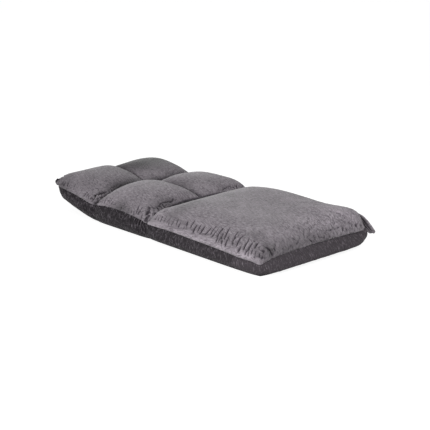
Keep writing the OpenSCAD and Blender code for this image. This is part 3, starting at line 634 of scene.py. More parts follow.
seatLooks = {
    "cells": (118, 128), "fullDepth": 70 * mm, "shadedCreases": (("high", 5),), "pileAndPaintedShading": (1.0, 0.96),
    "fullness": {"left": 1, "right": 1, "low": 0.5, "high": 0.25},
    "fuller": [spot((205, -475, 105), 75, 13),
               spot((232, -495, 95), 44, 16),
               spot((200, -30, 110), 60, 9),
               spot((165, -250, 140), 120, 7, stretch=(1, 0.6, 1)),
               spot((215, -370, 120), 100, 3),
               spot((250, -532, 72), 14, -6),
               spot((-215, -480, 100), 50, 5),
               spot((-205, -22, 90), 42, 9),
               spot((-60, -20, 120), 70, -3, stretch=(0.7, 1, 1))],
    "overhang": {
        "left": {"way": (-1, 0, -0.9), "width": 17 * mm, "amounts": (
            (0, 8), (0.15, 12.5), (0.33, 13), (0.55, 12), (0.8, 6.5), (1, 2.5))},
        "right": {"way": (1, 0, -0.9), "width": 17 * mm, "amounts": (
            (0, 0), (0.15, 5), (0.4, 9), (0.8, 3.5), (1, 2))},
        "low": {"way": (0, -1, -0.9), "width": 15 * mm, "amounts": (
            (0, 5), (0.06, 4), (0.125, 1), (0.3, 0), (1, 0))},
    },
    "ironed": [spot((-190, -478, 107), 42, 90)],
    "hems": ("left", "right"),
    "gathers": seatSideGathers("left", 3) + seatSideGathers("right", 43) + [
        gatherRow("low", (0.16, 0.97), (15, 30), (4.0, 7.0), (0.8, 2.2), (20, 42), 3, (-0.8, 0.8), seed=21),
        gatherRow("high", (0.03, 0.97), (20, 44), (3.6, 5.6), (0.3, 0.9), (14, 30), 4, (-0.2, 0.2), seed=12),
    ],
    "dents": [
        spot((-228, -522, 80), 27, 6, rings=15 * mm, ringDepth=3.2 * mm),
        spot((-206, -540, 66), 10, -10, stretch=(1.3, 1, 0.7)),
    ],
    "crumples": [
        spot((-220, -520, 80), 36, 1.6, scale=58, seed=3),
        spot((0, -270, 130), 420, 0.5, scale=60, seed=8),
        spot((20, -520, 90), 230, 2.3, scale=46, seed=9, stretch=(1, 3.4, 2)),
        spot((-170, -50, 100), 90, 1.6, scale=44, seed=14),
    ],
    "folds": [((-209, -517, 88), (-199, -531, 66), 5, 7)],
    # Soft spots of painted shade (negative amounts) and painted highlight (positive amounts) on the velvet
    "paintedShades": [spot((-120, -530, 68), 34, -0.42, stretch=(0.17, 1, 1)),
               spot((-205, -522, 82), 22, -0.25),
               spot((-206, -447, 112), 28, -0.3),
               spot((-248, -543, 67), 13, -0.4),
               spot((-216, -22, 92), 44, 0.22),
               spot((125, -490, 114), 42, 0.22, stretch=(0.6, 1, 1)),
               spot((-175, -100, 125), 42, -0.45, stretch=(0.5, 1, 1)),
               spot((-50, -92, 138), 40, -0.22, stretch=(0.5, 1, 1)),
               spot((60, -470, 122), 60, 0.28, stretch=(0.4, 1, 1)),
               spot((205, -505, 98), 45, 0.3)],
}
# Painted shading across each tuft, from its left edge to its right: the way its pile lies and how the light
# falls on it
tuftPaintedShading = {"backLeft": (1.0, 1.0), "backRight": (0.96, 1.03), "headLeft": (0.86, 0.80),
            "headRight": (0.78, 0.84)}
# Painted shade in the dip where the four tufts meet
shadeWhereFourMeet = spot((0, 303, 114), 26, -0.6)
# Soft spots of painted shade and painted highlight on each tuft
tuftPaintedShades = {
    "headLeft": [shadeWhereFourMeet, spot((-255, 500, 112), 40, -0.35),
                 spot((-110, 306, 112), 15, -0.35, stretch=(0.15, 1, 1)),
                 spot((-120, 313, 112), 100, -0.3, stretch=(1, 5, 1))],
    "headRight": [shadeWhereFourMeet, spot((90, 468, 158), 108, -0.8, stretch=(0.5, 1, 1)),
                  spot((8, 405, 124), 75, 0.4, stretch=(2.5, 1, 1)),
                  spot((95, 325, 125), 42, 0.25, stretch=(0.5, 1, 1)),
                  spot((110, 306, 112), 15, -0.3, stretch=(0.15, 1, 1))],
    "backLeft": [shadeWhereFourMeet, spot((-195, 28, 103), 34, -0.35, stretch=(0.6, 1, 1)),
                 spot((-252, 128, 76), 30, -0.35, stretch=(1, 0.5, 1)),
                 spot((-247, 160, 88), 26, -0.3, stretch=(1, 0.7, 1)),
                 spot((-222, 12, 75), 27, 0.35),
                 spot((-150, 22, 92), 30, -0.4, stretch=(0.7, 1, 1)),
                 spot((-6, 150, 116), 110, -0.3, stretch=(5, 1, 1)),
                 spot((-120, 287, 118), 95, -0.3, stretch=(1, 4, 1))],
    "backRight": [shadeWhereFourMeet, spot((6, 150, 116), 110, -0.3, stretch=(5, 1, 1))],
}
tuftFolds = {  # by the outer ends of the creases; mirrored for the tufts on the right
    "head": [((250, 336, 82), (192, 308, 104), 5, 8), ((243, 318, 80), (222, 305, 86), 3.5, 4)],
    "back": [((216, 40, 100), (246, 22, 64), 6, 10), ((219, 30, 88), (232, 16, 72), 3.5, 4),
             ((205, 30, 100), (110, 22, 115), 8, 5), ((249, 152, 82), (241, 140, 97), 4, 4)],
}
tuftFuller = {
    "backRight": [spot((120, 230, 150), 80, -5),
                  spot((215, 45, 105), 52, 13),
                  spot((30, 275, 150), 45, -6)],
    "backLeft": [spot((-30, 275, 150), 45, -9)],
    "headRight": [spot((50, 530, 190), 62, -9)],
    "headLeft": [spot((-30, 480, 190), 36, 4),
                 spot((-120, 500, 190), 60, -3),
                 spot((-20, 325, 130), 40, -6),
                 spot((-222, 525, 125), 42, 8)],
}


def tuftGathers(outer, inner, seed):
    outerEnd, innerEnd = ((0.03, 0.36), (0.36, 0.97)) if outer == "left" else ((0.64, 0.97), (0.03, 0.64))
    return numbered(seed, [
        gatherRow(outer, (0.02, 0.30), (9, 14), (2.8, 4.0), (3.0, 5.2), (28, 56), 1, grow=(1, 0.7)),
        gatherRow(outer, (0.30, 0.70), (14, 24), (3.0, 5.0), (1.2, 2.8), (22, 44), 2, grow=(0.8, 0.7)),
        gatherRow(outer, (0.70, 0.98), (10, 16), (2.8, 4.2), (2.2, 4.4), (26, 48), 1, grow=(0.8, 1)),
        gatherRow("low", outerEnd, (10, 18), (2.8, 4.4), (2.0, 4.4), (20, 42)),
        gatherRow("low", innerEnd, (16, 34), (3.4, 5.4), (0.4, 1.6), (16, 34)),
        gatherRow("high", outerEnd, (11, 19), (3.0, 4.6), (1.6, 3.6), (20, 40)),
        gatherRow("high", innerEnd, (16, 34), (3.4, 5.4), (0.4, 1.4), (14, 30)),
        gatherRow(inner, (0.04, 0.96), (14, 26), (3.2, 5.0), (0.8, 2.2), (16, 32)),
    ])


def tuftCrumples(section, side, seed):
    # Pinched cloth where the creases run out to the bands, dimples further along, a light ripple all over
    start, length = section["startY"] / mm, section["length"] / mm
    foot = (chair["deck"] + section["lowRise"][0]) / mm
    pinch = 3.4 if section is back else 1.0
    return [spot((228 * side, start + 13, foot + 30), 38, 5.0, scale=46, seed=seed, grain=(0.7, 1, 1)),
            spot((150 * side, start + 10, foot + 45), 80, 2.8, scale=52, seed=seed + 3,
                 stretch=(1, 3.6, 2), grain=(0.6, 1, 1)),
            spot((236 * side, start + length - 68, 86), 30, pinch, scale=58, seed=seed + 1),
            spot((120 * side, start + length / 2, 130), 200, 0.4, scale=58, seed=seed + 2)]


def makeSeatCushion():
    piece = sewCushion("seatCushion", seat, (-1, 1), seatLooks["cells"], seatLooks)
    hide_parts("seat_top_cover", "seat_top_foam")
    bendCloth(piece, seat)
    return piece


tuftOverhang = {
    "back": ((0, 2), (0.1, 0), (0.8, 0), (1, 2)),
    "head": ((0, 4), (0.5, 4), (0.85, 7), (1, 5)),
}


def makeTuft(part, word, section, side, cells, seed):
    outer, inner = ("left", "right") if side < 0 else ("right", "left")
    which = part + word.capitalize()
    looks = {
        "fullDepth": 60 * mm,
        "fullness": {"left": 0.8, "right": 0.8, "low": 1, "high": 0.9},
        "gathers": tuftGathers(outer, inner, seed),
        "crumples": tuftCrumples(section, side, seed),
        "overhang": {outer: {"way": (side, 0, -0.9), "width": 14 * mm, "amounts": tuftOverhang[part]}},
        "fuller": tuftFuller[which],
        "pileAndPaintedShading": tuftPaintedShading[which],
        "paintedShades": tuftPaintedShades[which],
        "shadedCreases": (("low", 7), ("high", 14), (inner, 14)),
        "folds": [((start[0] * side, *start[1:]), (end[0] * side, *end[1:]), width, depth)
                  for start, end, width, depth in tuftFolds[part]],
    }
    if section is head:
        looks["shadedCreases"] = (("low", 15), (inner, 4))
        looks["overhang"]["high"] = {"way": (0, 1, -0.5), "width": 14 * mm, "amounts": ((0, 2), (1, 2))}
    halfGap = 0.0016   # as a share of half the width
    span = (-1, -halfGap) if side < 0 else (halfGap, 1)
    piece = sewCushion(part + "Tuft" + word.capitalize(), section, span, cells, looks)
    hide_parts(f"{part}_top_cover_{word}", f"{part}_top_foam_{word}")
    bendCloth(piece, section)
    return piece


print("sewing the cushions")
cushions = [makeSeatCushion()]
for side, word in ((-1, "left"), (1, "right")):
    cushions.append(makeTuft("back", word, back, side, (62, 70), 20 + 9 * side))
    cushions.append(makeTuft("head", word, head, side, (62, 60), 60 + 9 * side))


# Side bands: a strip that follows the seams round each section and swells between seam and floor

bands = {
    "seatBand": {"section": seat, "corners": ((-1, 1), (-1, -1), (1, -1), (1, 1)), "steps": 330, "seed": 101,
                 "seams": (0.44, -0.44), "replaces": ("seat_side_band", "seat_base_foam"),
                 "fuller": [spot((252, -535, 55), 32, 14),
                            spot((262, -545, 5), 30, -12),
                            spot((-255, -540, 4), 26, -7)]},
    "backBandLeft": {"section": back, "corners": ((-1, 1), (-1, -1)), "steps": 70, "seed": 102,
                     "seams": (), "replaces": ("back_side_band_left", "back_base_foam")},
    "backBandRight": {"section": back, "corners": ((1, -1), (1, 1)), "steps": 70, "seed": 103,
                      "seams": (), "replaces": ("back_side_band_right",)},
    "headBand": {"section": head, "corners": ((1, -1), (1, 1), (-1, 1), (-1, -1)), "steps": 210, "seed": 104,
                 "seams": (), "replaces": ("head_side_band", "head_base_foam")},
}
bandCut = {"levels": 14, "thickness": 2.6 * mm, "ripple": 1.6 * mm, "rippleSize": 26,
           "seamDepth": 1.4 * mm, "seamWidth": 2.2 * mm, "samples": 900, "endFade": 20 * mm,
           "ridgeLightDepth": 6 * mm, "sideTone": 0.4, "toneReach": 0.5}


def bandPath(section, corners, count):
    u, v = np.concatenate([np.linspace(a, b, bandCut["samples"]) for a, b in zip(corners, corners[1:])]).T
    line = bandPlaces(section, u, v, np.full(u.shape, 0.5), 0)
    arc = runLengths(line[:, None], 0)[:, 0]
    even = np.linspace(0, arc[-1], count)
    return np.interp(even, arc, u), np.interp(even, arc, v), even


def bandGathers(name, seed):
    step = (16, 34) if name.startswith("back") else (26, 54)
    rows = [gatherRow("high", (0.01, 0.99), step, (3, 5), (0.8, 2.2), (18, 44), seed=seed),
            gatherRow("low", (0.01, 0.99), (22, 50), (3, 5), (0.8, 2.0), (18, 44), seed=seed + 1)]
    if name.startswith("back"):
        byHip = (0.84, 0.97) if name.endswith("Left") else (0.03, 0.16)
        rows.append(gatherRow("high", byHip, (9, 12), (2.2, 3.0), (-4.5, -3.0), (40, 62), seed=seed + 2))
    return rows


def makeBand(name, cut):
    section = cut["section"]
    piece, order = flatSheet(name, cut["steps"], bandCut["levels"])
    u, v, run = bandPath(section, cut["corners"], order.shape[0])
    k = np.linspace(0, 1, order.shape[1])
    flat = bandPlaces(section, *np.broadcast_arrays(u[:, None], v[:, None], k[None, :]), 0)
    smooth = dent(flat, cut.get("fuller", ()))
    shape = gather(smooth, bandGathers(name, cut["seed"]))
    normals = sheetNormals(blurred(shape, 3))
    hold = np.sin(math.pi * np.clip(k, 0, 1)) ** 0.6
    ends = smoothStep(0, bandCut["endFade"], np.minimum(run, run[-1] - run))
    push = bandCut["ripple"] * cloudy(shape, bandCut["rippleSize"], cut["seed"]) * hold * ends[:, None]
    seams = [place % run[-1] for place in cut["seams"]]
    for place in seams:
        push -= bandCut["seamDepth"] * bell((run[:, None] - place) / bandCut["seamWidth"])
    shape = shape + push[..., None] * normals
    layCloth(piece.data, order, shape)
    # Raised folds get a low mark, which the band's material paints as a highlight
    raised = ((shape - smooth) * normals).sum(2)
    markSheet(piece.data, order, "paintedFoldShading", np.clip(0.5 - raised / bandCut["ridgeLightDepth"], 0, 1))
    front = np.zeros(order.shape)
    if seams:
        # The front piece is the lightest, and the side pieces get a little lighter towards it
        beyond = np.maximum(seams[0] - run, run - seams[1])
        sideTone = bandCut["sideTone"] * (1 - smoothStep(0, bandCut["toneReach"], beyond))
        front += np.where(beyond < 0, 1, sideTone)[:, None]
    markSheet(piece.data, order, "frontPiece", front)
    thicken(piece, bandCut["thickness"])
    smoothShade(piece, chair["sharpAngle"])
    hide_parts(*cut["replaces"])
    bendCloth(piece, section)
    return piece


def thicken(piece, thickness):
    bm = bmesh.new()
    bm.from_mesh(piece.data)
    bmesh.ops.recalc_face_normals(bm, faces=bm.faces)
    made = bmesh.ops.extrude_face_region(bm, geom=bm.faces[:])["geom"]
    for vert in [part for part in made if isinstance(part, bmesh.types.BMVert)]:
        vert.co -= vert.normal * thickness
    bmesh.ops.recalc_face_normals(bm, faces=bm.faces)
    bm.to_mesh(piece.data)
    bm.free()


underCut = {"inset": 0.3 * mm, "thickness": 1.8 * mm}
undersides = {
    "seatUnderside": {"section": seat, "replaces": "seat_bottom_panel", "cells": (56, 60)},
    "backUnderside": {"section": back, "replaces": "back_bottom_panel", "cells": (56, 34)},
    "headUnderside": {"section": head, "replaces": "head_bottom_panel", "cells": (56, 28)},
}


def makeUnderside(name, cut):
    section = cut["section"]
    piece, order = flatSheet(name, *cut["cells"])
    u, v = np.meshgrid(*[np.linspace(-1, 1, count) for count in order.shape], indexing="ij")
    shape = bandPlaces(section, u, v, np.zeros(order.shape), underCut["inset"])
    layCloth(piece.data, order, shape)
    markPaintedFoldShading(piece.data, order, shape)
    thicken(piece, underCut["thickness"])
    smoothShade(piece)
    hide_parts(cut["replaces"])
    bendCloth(piece, section)
    return piece


print("sewing the bands and undersides")
bandPieces = [makeBand(name, cut) for name, cut in bands.items()]
undersidePieces = [makeUnderside(name, cut) for name, cut in undersides.items()]


# Corner ears: spare cloth pressed flat into a folded flap. Outlines are mm out from the corner, and up

ears = {
    "cornerEar": {
        "section": seat, "corner": (1, -1), "cells": (30, 26), "thickness": 3.4 * mm, "rides": "seat",
        "foot": ((-38, 48), (-28, 42), (-18, 28), (-9, 12), (6, 0), (27, -13)),
        "edge": ((-15, 57), (1, 48), (17, 32), (30, 15), (45, -7), (39, -15)),
        "relief": ((0, 6), (0.16, 2), (0.34, -9), (0.46, -3), (0.56, -9), (0.7, -4), (0.84, 4), (1, 2)),
    },
    "headEar": {
        "section": head, "corner": (-1, 1), "cells": (12, 12), "thickness": 4.0 * mm, "rides": "head",
        "foot": ((-8, 14), (-6, 5), (-5, -4), (-5, -13)),
        "edge": ((3, 13), (11, 6), (12, -3), (4, -12)),
        "relief": ((0, 2), (0.3, -3), (0.6, 3), (0.8, -2), (1, 1)),
    },
}


def makeEar(name, cut):
    piece, order = flatSheet(name, *cut["cells"])
    u, v = cut["corner"]
    corner = coverPlaces(cut["section"], (-1, 1), np.array(float(u)), np.array(float(v)))
    outward = np.array((u, v, 0)) / math.sqrt(2)
    nearer = np.array((-1, -1, 0)) / math.sqrt(2)
    s = np.linspace(0, 1, order.shape[0])
    t = np.linspace(0, 1, order.shape[1])

    def line(points):
        marks = np.linspace(0, 1, len(points))
        return np.stack([np.interp(s, marks, [p[axis] * mm for p in points]) for axis in (0, 1)], -1)

    foot, edge = line(cut["foot"]), line(cut["edge"])
    flat = foot[:, None, :] * (1 - t)[None, :, None] + edge[:, None, :] * t[None, :, None]
    relief = np.interp(t, [mark[0] for mark in cut["relief"]], [mark[1] * mm for mark in cut["relief"]])
    relief = relief[None, :] * (0.25 + 0.75 * np.sin(math.pi * np.clip(s * 0.85 + 0.12, 0, 1)))[:, None]
    shape = corner + flat[..., :1] * outward + relief[..., None] * nearer
    shape[..., 2] += flat[..., 1]
    shape = blurred(shape, 2)
    layCloth(piece.data, order, shape)
    # Painted shade darkens the flap's furrow where its relief sinks in, and the flap's velvet is painted a
    # little lighter all over
    for mark, value in (("paintedFoldShading", np.clip(0.5 - relief * 60, 0, 1)), ("pileAndPaintedShading", 1.05), ("frontPiece", 0)):
        markSheet(piece.data, order, mark, value)
    thicken(piece, cut["thickness"])
    subdivideOnce(piece)
    smoothShade(piece)
    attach(piece, cut["rides"])
    return piece


print("folding the corner ears")
cornerEar, headEar = [makeEar(name, cut) for name, cut in ears.items()]
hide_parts("seat_corner_pleat")


# Woven straps and the zip's tape, which take the place of their CAD solids

strapCut = {"thickness": 1.5 * mm, "wrap": 300, "sag": 0.6 * mm, "width": 40 * mm, "cells": 8, "points": 40}
straps = {
    "seatStraps": {"node": "seat_webbing", "count": 3, "tilt": 0, "rides": "seat"},
    "backStrap": {"node": "back_webbing", "count": 1, "tilt": 0, "rides": "back"},
    "headStrap": {"node": "head_webbing", "count": 1, "tilt": chair["headTilt"], "rides": "head"},
}
tapeCut = {"cells": (120, 8), "thickness": 0.8 * mm, "halfWidth": 11 * mm, "wave": 0.25 * mm,
           "waveLength": 23 * mm}


def tilted(tilt, x, middle, along, up):
    turn, slide = math.cos(tilt), math.sin(tilt)
    return np.stack((x, middle[1] + along * turn - up * slide, middle[2] + along * slide + up * turn), -1)


def finishWoven(piece, thickness, node, body):
    thicken(piece, thickness)
    smoothShade(piece, chair["sharpAngle"])
    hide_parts(node)
    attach(piece, body)
    return piece


def strapPath(radius, tubeX):
    # Round one tube, over to the other and round that one, with a light sag between
    turn = np.radians(np.linspace(90 - strapCut["wrap"], 90, strapCut["points"]))
    wrap = np.stack((radius * np.cos(math.pi - turn) - tubeX, radius * np.sin(turn)), 1)
    across = np.linspace(-tubeX, tubeX, strapCut["points"])[1:-1]
    top = np.stack((across, radius - strapCut["sag"] * np.cos(across / tubeX * math.pi / 2)), 1)
    return np.concatenate((wrap, top, wrap[::-1] * (-1, 1)))


def makeStraps(name, cut):
    low, high = [np.array(corner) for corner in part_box(cut["node"])]
    seatLow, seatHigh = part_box("seat_webbing")
    radius = (seatHigh[2] - seatLow[2]) / 2
    depth = high[1] - low[1]
    width = strapCut["width"]
    if cut["count"] == 1:
        width = (depth - 2 * radius * math.sin(cut["tilt"])) / math.cos(cut["tilt"])
    path = strapPath(radius, high[0] - radius)
    joined = bmesh.new()
    for number in range(cut["count"]):
        share = number / (cut["count"] - 1) if cut["count"] > 1 else 0.5
        middle = (low + high) / 2
        middle[1] = low[1] + width / 2 + (depth - width) * share
        sheet, order = flatSheet(name, len(path) - 1, strapCut["cells"])
        x, y = np.meshgrid(path[:, 0], np.linspace(-width / 2, width / 2, order.shape[1]), indexing="ij")
        strip = tilted(cut["tilt"], x, middle, y, path[:, 1:] + 0 * y)
        writePoints(sheet.data, byVertex(order, strip))
        joined.from_mesh(sheet.data)
        bpy.data.objects.remove(sheet)
    piece = linkPiece(name, bpy.data.meshes.new(name))
    joined.to_mesh(piece.data)
    joined.free()
    return finishWoven(piece, strapCut["thickness"], cut["node"], cut["rides"])


def makeZipTape():
    low, high = [np.array(corner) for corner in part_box("zip_tape")]
    piece, order = flatSheet("zipTape", *tapeCut["cells"])
    x, side = np.meshgrid(np.linspace(high[0], low[0], order.shape[0]), np.linspace(-1, 1, order.shape[1]),
                          indexing="ij")
    wave = tapeCut["wave"] * np.sin(2 * math.pi * x / tapeCut["waveLength"]) * np.abs(side)
    out = wave + tapeCut["thickness"] / 2
    strip = tilted(chair["headTilt"], x, (low + high) / 2, out, side * tapeCut["halfWidth"])
    writePoints(piece.data, byVertex(order, strip))
    return finishWoven(piece, tapeCut["thickness"], "zip_tape", "head")


print("weaving the straps and the zip tape")
wovenPieces = [makeStraps(name, cut) for name, cut in straps.items()] + [makeZipTape()]


# Materials

def put(tree, socket, value):
    # A number, a vector or another node's output
    if isinstance(value, bpy.types.NodeSocket):
        tree.links.new(value, socket)
    else:
        socket.default_value = value


def setSockets(tree, node, **values):
    for name, value in values.items():
        put(tree, node.inputs[name.replace("_", " ")], value)
    return node


def addNode(tree, kind, settings=None, **sockets):
    node = tree.nodes.new("ShaderNode" + kind)
    for name, value in (settings or {}).items():
        setattr(node, name, value)
    return setSockets(tree, node, **sockets)


def noiseOf(tree, vector, scale, **sockets):
    return addNode(tree, "TexNoise", Vector=vector, Scale=scale, **sockets).outputs["Fac"]


def newGroup(name, inputs, outputs):
    # Inputs with their first values, where None stands for a place on the surface
    group = bpy.data.node_groups.new(name, "ShaderNodeTree")
    for label, value in inputs.items():
        kind = "NodeSocketVector" if value is None else "NodeSocketFloat"
        socket = group.interface.new_socket(name=label, in_out="INPUT", socket_type=kind)
        if value is not None:
            socket.default_value = value
    for label in outputs:
        group.interface.new_socket(name=label, in_out="OUTPUT", socket_type="NodeSocketFloat")
    return group, group.nodes.new("NodeGroupOutput"), group.nodes.new("NodeGroupInput").outputs


def combine(tree, kind, values, settings=None):
    # A node whose inputs are given in their order
    node = addNode(tree, kind, settings)
    for index, value in enumerate(values):
        put(tree, node.inputs[index], value)
    return node.outputs[0]


def math2(tree, operation, *values, clamp=False):
    return combine(tree, "Math", values, {"operation": operation, "use_clamp": clamp})


def stretched(tree, value, middle, gain, clamp=False):
    return math2(tree, "MULTIPLY", math2(tree, "SUBTRACT", value, middle), gain, clamp=clamp)


def napMottleGroup():
    # Brushed pile: short strokes that lean one way, and soft patches where it was stroked back
    group, out, into = newGroup(
        "napMottle", {"Vector": None, "Stroke Scale": 170.0, "Patch Scale": 14.0, "Contrast": 1.0},
        ("Tone", "Height"))
    turn = addNode(group, "Mapping", Vector=into["Vector"], Rotation=(0, 0, -0.6), Scale=(1, 0.4, 1))
    stroke = noiseOf(group, turn.outputs[0], into["Stroke Scale"], Detail=4.0, Roughness=0.6, Distortion=0.7)
    patch = noiseOf(group, into["Vector"], into["Patch Scale"], Detail=3.0, Roughness=0.5, Distortion=0.4)
    pileAndPaintedShading = noiseOf(group, into["Vector"], 1100.0, Detail=2.0, Roughness=0.7)
    tone = math2(group, "ADD", stretched(group, stroke, 0.5, 2.0), stretched(group, pileAndPaintedShading, 0.5, 0.5))
    tone = math2(group, "MULTIPLY", tone, into["Contrast"])
    tone = math2(group, "ADD", tone, stretched(group, patch, 0.5, 0.8))
    height = math2(group, "ADD", stroke, math2(group, "MULTIPLY", pileAndPaintedShading, 0.12))
    setSockets(group, out, Tone=math2(group, "ADD", tone, 0.5, clamp=True), Height=height)
    return group


def heatherWeaveGroup():
    # Dark yarn with light flecks that run with either set of threads
    group, out, into = newGroup(
        "heatherWeave", {"Vector": None, "Thread Scale": 500.0, "Fleck Scale": 150.0, "Fleck Floor": 0.58},
        ("Fleck", "Height"))
    flecks = []
    for angle, scale in ((0.25, (1.0, 0.2, 1.0)), (-0.4, (0.9, 0.35, 1.0))):
        turn = addNode(group, "Mapping", Vector=into["Vector"], Rotation=(0, 0, angle), Scale=scale)
        flecks.append(noiseOf(group, turn.outputs[0], into["Fleck Scale"], Detail=3.0, Roughness=0.7,
                              Distortion=0.3))
    fleck = stretched(group, math2(group, "MAXIMUM", *flecks), into["Fleck Floor"], 5.0, clamp=True)
    threads = []
    for way in "XY":
        wave = addNode(group, "TexWave", {"wave_type": "BANDS", "bands_direction": way},
                       Vector=into["Vector"], Scale=into["Thread Scale"], Distortion=0.8, Detail=1.0)
        threads.append(wave.outputs["Fac"])
    weave = math2(group, "MULTIPLY", math2(group, "ADD", *threads), 0.5)
    height = math2(group, "ADD", weave, math2(group, "MULTIPLY", fleck, 0.5))
    setSockets(group, out, Fleck=fleck, Height=height)
    return group


def edgeRubGroup():
    # Rubbed and dusty patches on painted and plated steel
    group, out, into = newGroup("edgeRub", {"Vector": None, "Scale": 60.0}, ("Rub", "Grain"))
    rub = noiseOf(group, into["Vector"], into["Scale"], Detail=6.0, Roughness=0.7)
    grain = noiseOf(group, into["Vector"], 900.0, Detail=2.0)
    setSockets(group, out, Rub=stretched(group, rub, 0.5, 4.0, clamp=True), Grain=grain)
    return group


napMottle, heatherWeave, edgeRub = napMottleGroup(), heatherWeaveGroup(), edgeRubGroup()


def startMaterial(name, **sockets):
    material = bpy.data.materials.new(name)
    material.use_nodes = True
    tree = material.node_tree
    return material, tree, setSockets(tree, tree.nodes["Principled BSDF"], **sockets)


def placeGroup(tree, group, vector, **values):
    node = tree.nodes.new("ShaderNodeGroup")
    node.node_tree = group
    return setSockets(tree, node, Vector=vector, **values).outputs


def blendColours(tree, factor, dark, light, kind="MIX"):
    mix = addNode(tree, "Mix", {"data_type": "RGBA", "blend_type": kind}, Factor=factor)
    for index, value in ((6, dark), (7, light)):
        put(tree, mix.inputs[index], (*value, 1) if isinstance(value, tuple) else value)
    return mix.outputs[2]


def bumpFrom(tree, height, strength, distance):
    return addNode(tree, "Bump", Height=height, Strength=strength, Distance=distance).outputs["Normal"]


def clothInput(tree):
    return addNode(tree, "UVMap", {"uv_map": "cloth"}).outputs["UV"]


def markInput(tree, name):
    return addNode(tree, "Attribute", {"attribute_name": name}).outputs["Fac"]


velvet = {
    "dark": (0.048, 0.040, 0.048), "light": (0.276, 0.249, 0.273), "shade": (0.26, 0.24, 0.27),
    "stroke": 200.0, "patch": 13.0, "bump": 0.8, "nap": 2.2 * mm,
}
heather = {
    # The second colour is a painted highlight for the band's raised folds
    "dark": (0.0105, 0.0082, 0.0105), "wearAndHighlight": (0.150, 0.135, 0.150), "fleck": (0.180, 0.160, 0.180),
    "front": (0.044, 0.037, 0.043), "frontFleck": (0.165, 0.145, 0.163),
    "fleckScale": 215.0, "fleckFloor": 0.55, "bump": 0.6, "yarn": 0.8 * mm,
}


def velvetMaterial():
    material, tree, shader = startMaterial(
        "greyVelvet", Roughness=0.85, Sheen_Weight=0.25, Sheen_Roughness=0.45, Specular_IOR_Level=0.25)
    nap = placeGroup(tree, napMottle, clothInput(tree), Stroke_Scale=velvet["stroke"],
                     Patch_Scale=velvet["patch"], Contrast=1.0)
    colour = blendColours(tree, nap["Tone"], velvet["dark"], velvet["light"])
    # Painted shade darkens the velvet in valleys, folds and creases; the pile mark then adds its painted
    # shading
    paintedFoldShade = stretched(tree, markInput(tree, "paintedFoldShading"), 0.53, 2.6, clamp=True)
    colour = blendColours(tree, paintedFoldShade, colour, blendColours(tree, 1.0, colour, velvet["shade"], "MULTIPLY"))
    colour = blendColours(tree, 1.0, colour, markInput(tree, "pileAndPaintedShading"), "MULTIPLY")
    normal = bumpFrom(tree, nap["Height"], velvet["bump"], velvet["nap"])
    setSockets(tree, shader, Base_Color=colour, Normal=normal)
    return material


def heatherMaterial():
    material, tree, shader = startMaterial(
        "darkHeather", Roughness=0.9, Sheen_Weight=0.04, Sheen_Roughness=0.5, Specular_IOR_Level=0.15)
    weave = placeGroup(tree, heatherWeave, clothInput(tree), Fleck_Scale=heather["fleckScale"],
                       Fleck_Floor=heather["fleckFloor"])
    front = markInput(tree, "frontPiece")
    ground = blendColours(tree, front, heather["dark"], heather["front"])
    fleck = blendColours(tree, front, heather["fleck"], heather["frontFleck"])
    colour = blendColours(tree, weave["Fleck"], ground, fleck)
    # Painted highlight on the band's raised folds
    ridgeHighlight = math2(tree, "SUBTRACT", 0.30, markInput(tree, "paintedFoldShading"))
    ridgeHighlight = math2(tree, "MULTIPLY", ridgeHighlight, 2.5, clamp=True)
    colour = blendColours(tree, ridgeHighlight, colour, heather["wearAndHighlight"])
    normal = bumpFrom(tree, weave["Height"], heather["bump"], heather["yarn"])
    setSockets(tree, shader, Base_Color=colour, Normal=normal)
    return material


def steelMaterial(name, base, wearAndHighlight, metallic, roughness, scale):
    material, tree, shader = startMaterial(name, Metallic=metallic)
    rub = placeGroup(tree, edgeRub, addNode(tree, "TexCoord").outputs["Object"], Scale=scale)
    rough = math2(tree, "ADD", math2(tree, "MULTIPLY", rub["Rub"], 0.2), roughness)
    setSockets(tree, shader, Base_Color=blendColours(tree, rub["Rub"], base, wearAndHighlight), Roughness=rough,
               Normal=bumpFrom(tree, rub["Grain"], 0.15, 0.3 * mm))
    return material


def strapMaterial(name, dark, light, threads):
    material, tree, shader = startMaterial(name, Roughness=0.8, Specular_IOR_Level=0.3)
    weave = placeGroup(tree, heatherWeave, addNode(tree, "TexCoord").outputs["Object"], Thread_Scale=threads,
                       Fleck_Scale=260.0, Fleck_Floor=0.6)
    setSockets(tree, shader, Base_Color=blendColours(tree, weave["Height"], dark, light),
               Normal=bumpFrom(tree, weave["Height"], 0.5, 0.5 * mm))
    return material


print("mixing the materials")
finishes = {
    "cover_fabric": velvetMaterial(),
    "band_fabric": heatherMaterial(),
    "foam": strapMaterial("foamCells", (0.62, 0.58, 0.46), (0.75, 0.72, 0.60), 900.0),
    "webbing": strapMaterial("strapWeave", (0.03, 0.03, 0.032), (0.08, 0.08, 0.085), 420.0),
    "tube_paint": steelMaterial("tubePaint", (0.018, 0.018, 0.02), (0.05, 0.05, 0.052), 0.0, 0.38, 60.0),
    "zinc_steel": steelMaterial("zincSteel", (0.52, 0.52, 0.50), (0.36, 0.36, 0.35), 1.0, 0.3, 90.0),
    "zip_teeth": steelMaterial("zipTeeth", (0.02, 0.02, 0.022), (0.05, 0.05, 0.05), 0.0, 0.35, 200.0),
    "zip_metal": steelMaterial("zipMetal", (0.30, 0.30, 0.29), (0.18, 0.18, 0.18), 1.0, 0.35, 200.0),
}
nodeSlots = {   # by a word in the node's name, where the last one that fits counts
    "tube": "tube_paint", "crossbars": "tube_paint", "webbing": "webbing", "foam": "foam",
    "cover": "cover_fabric", "pleat": "cover_fabric", "band": "band_fabric", "panel": "band_fabric",
    "zip_tape": "webbing", "zip_teeth": "zip_teeth", "zip_slider": "zip_metal", "zip_pull": "zip_metal",
}
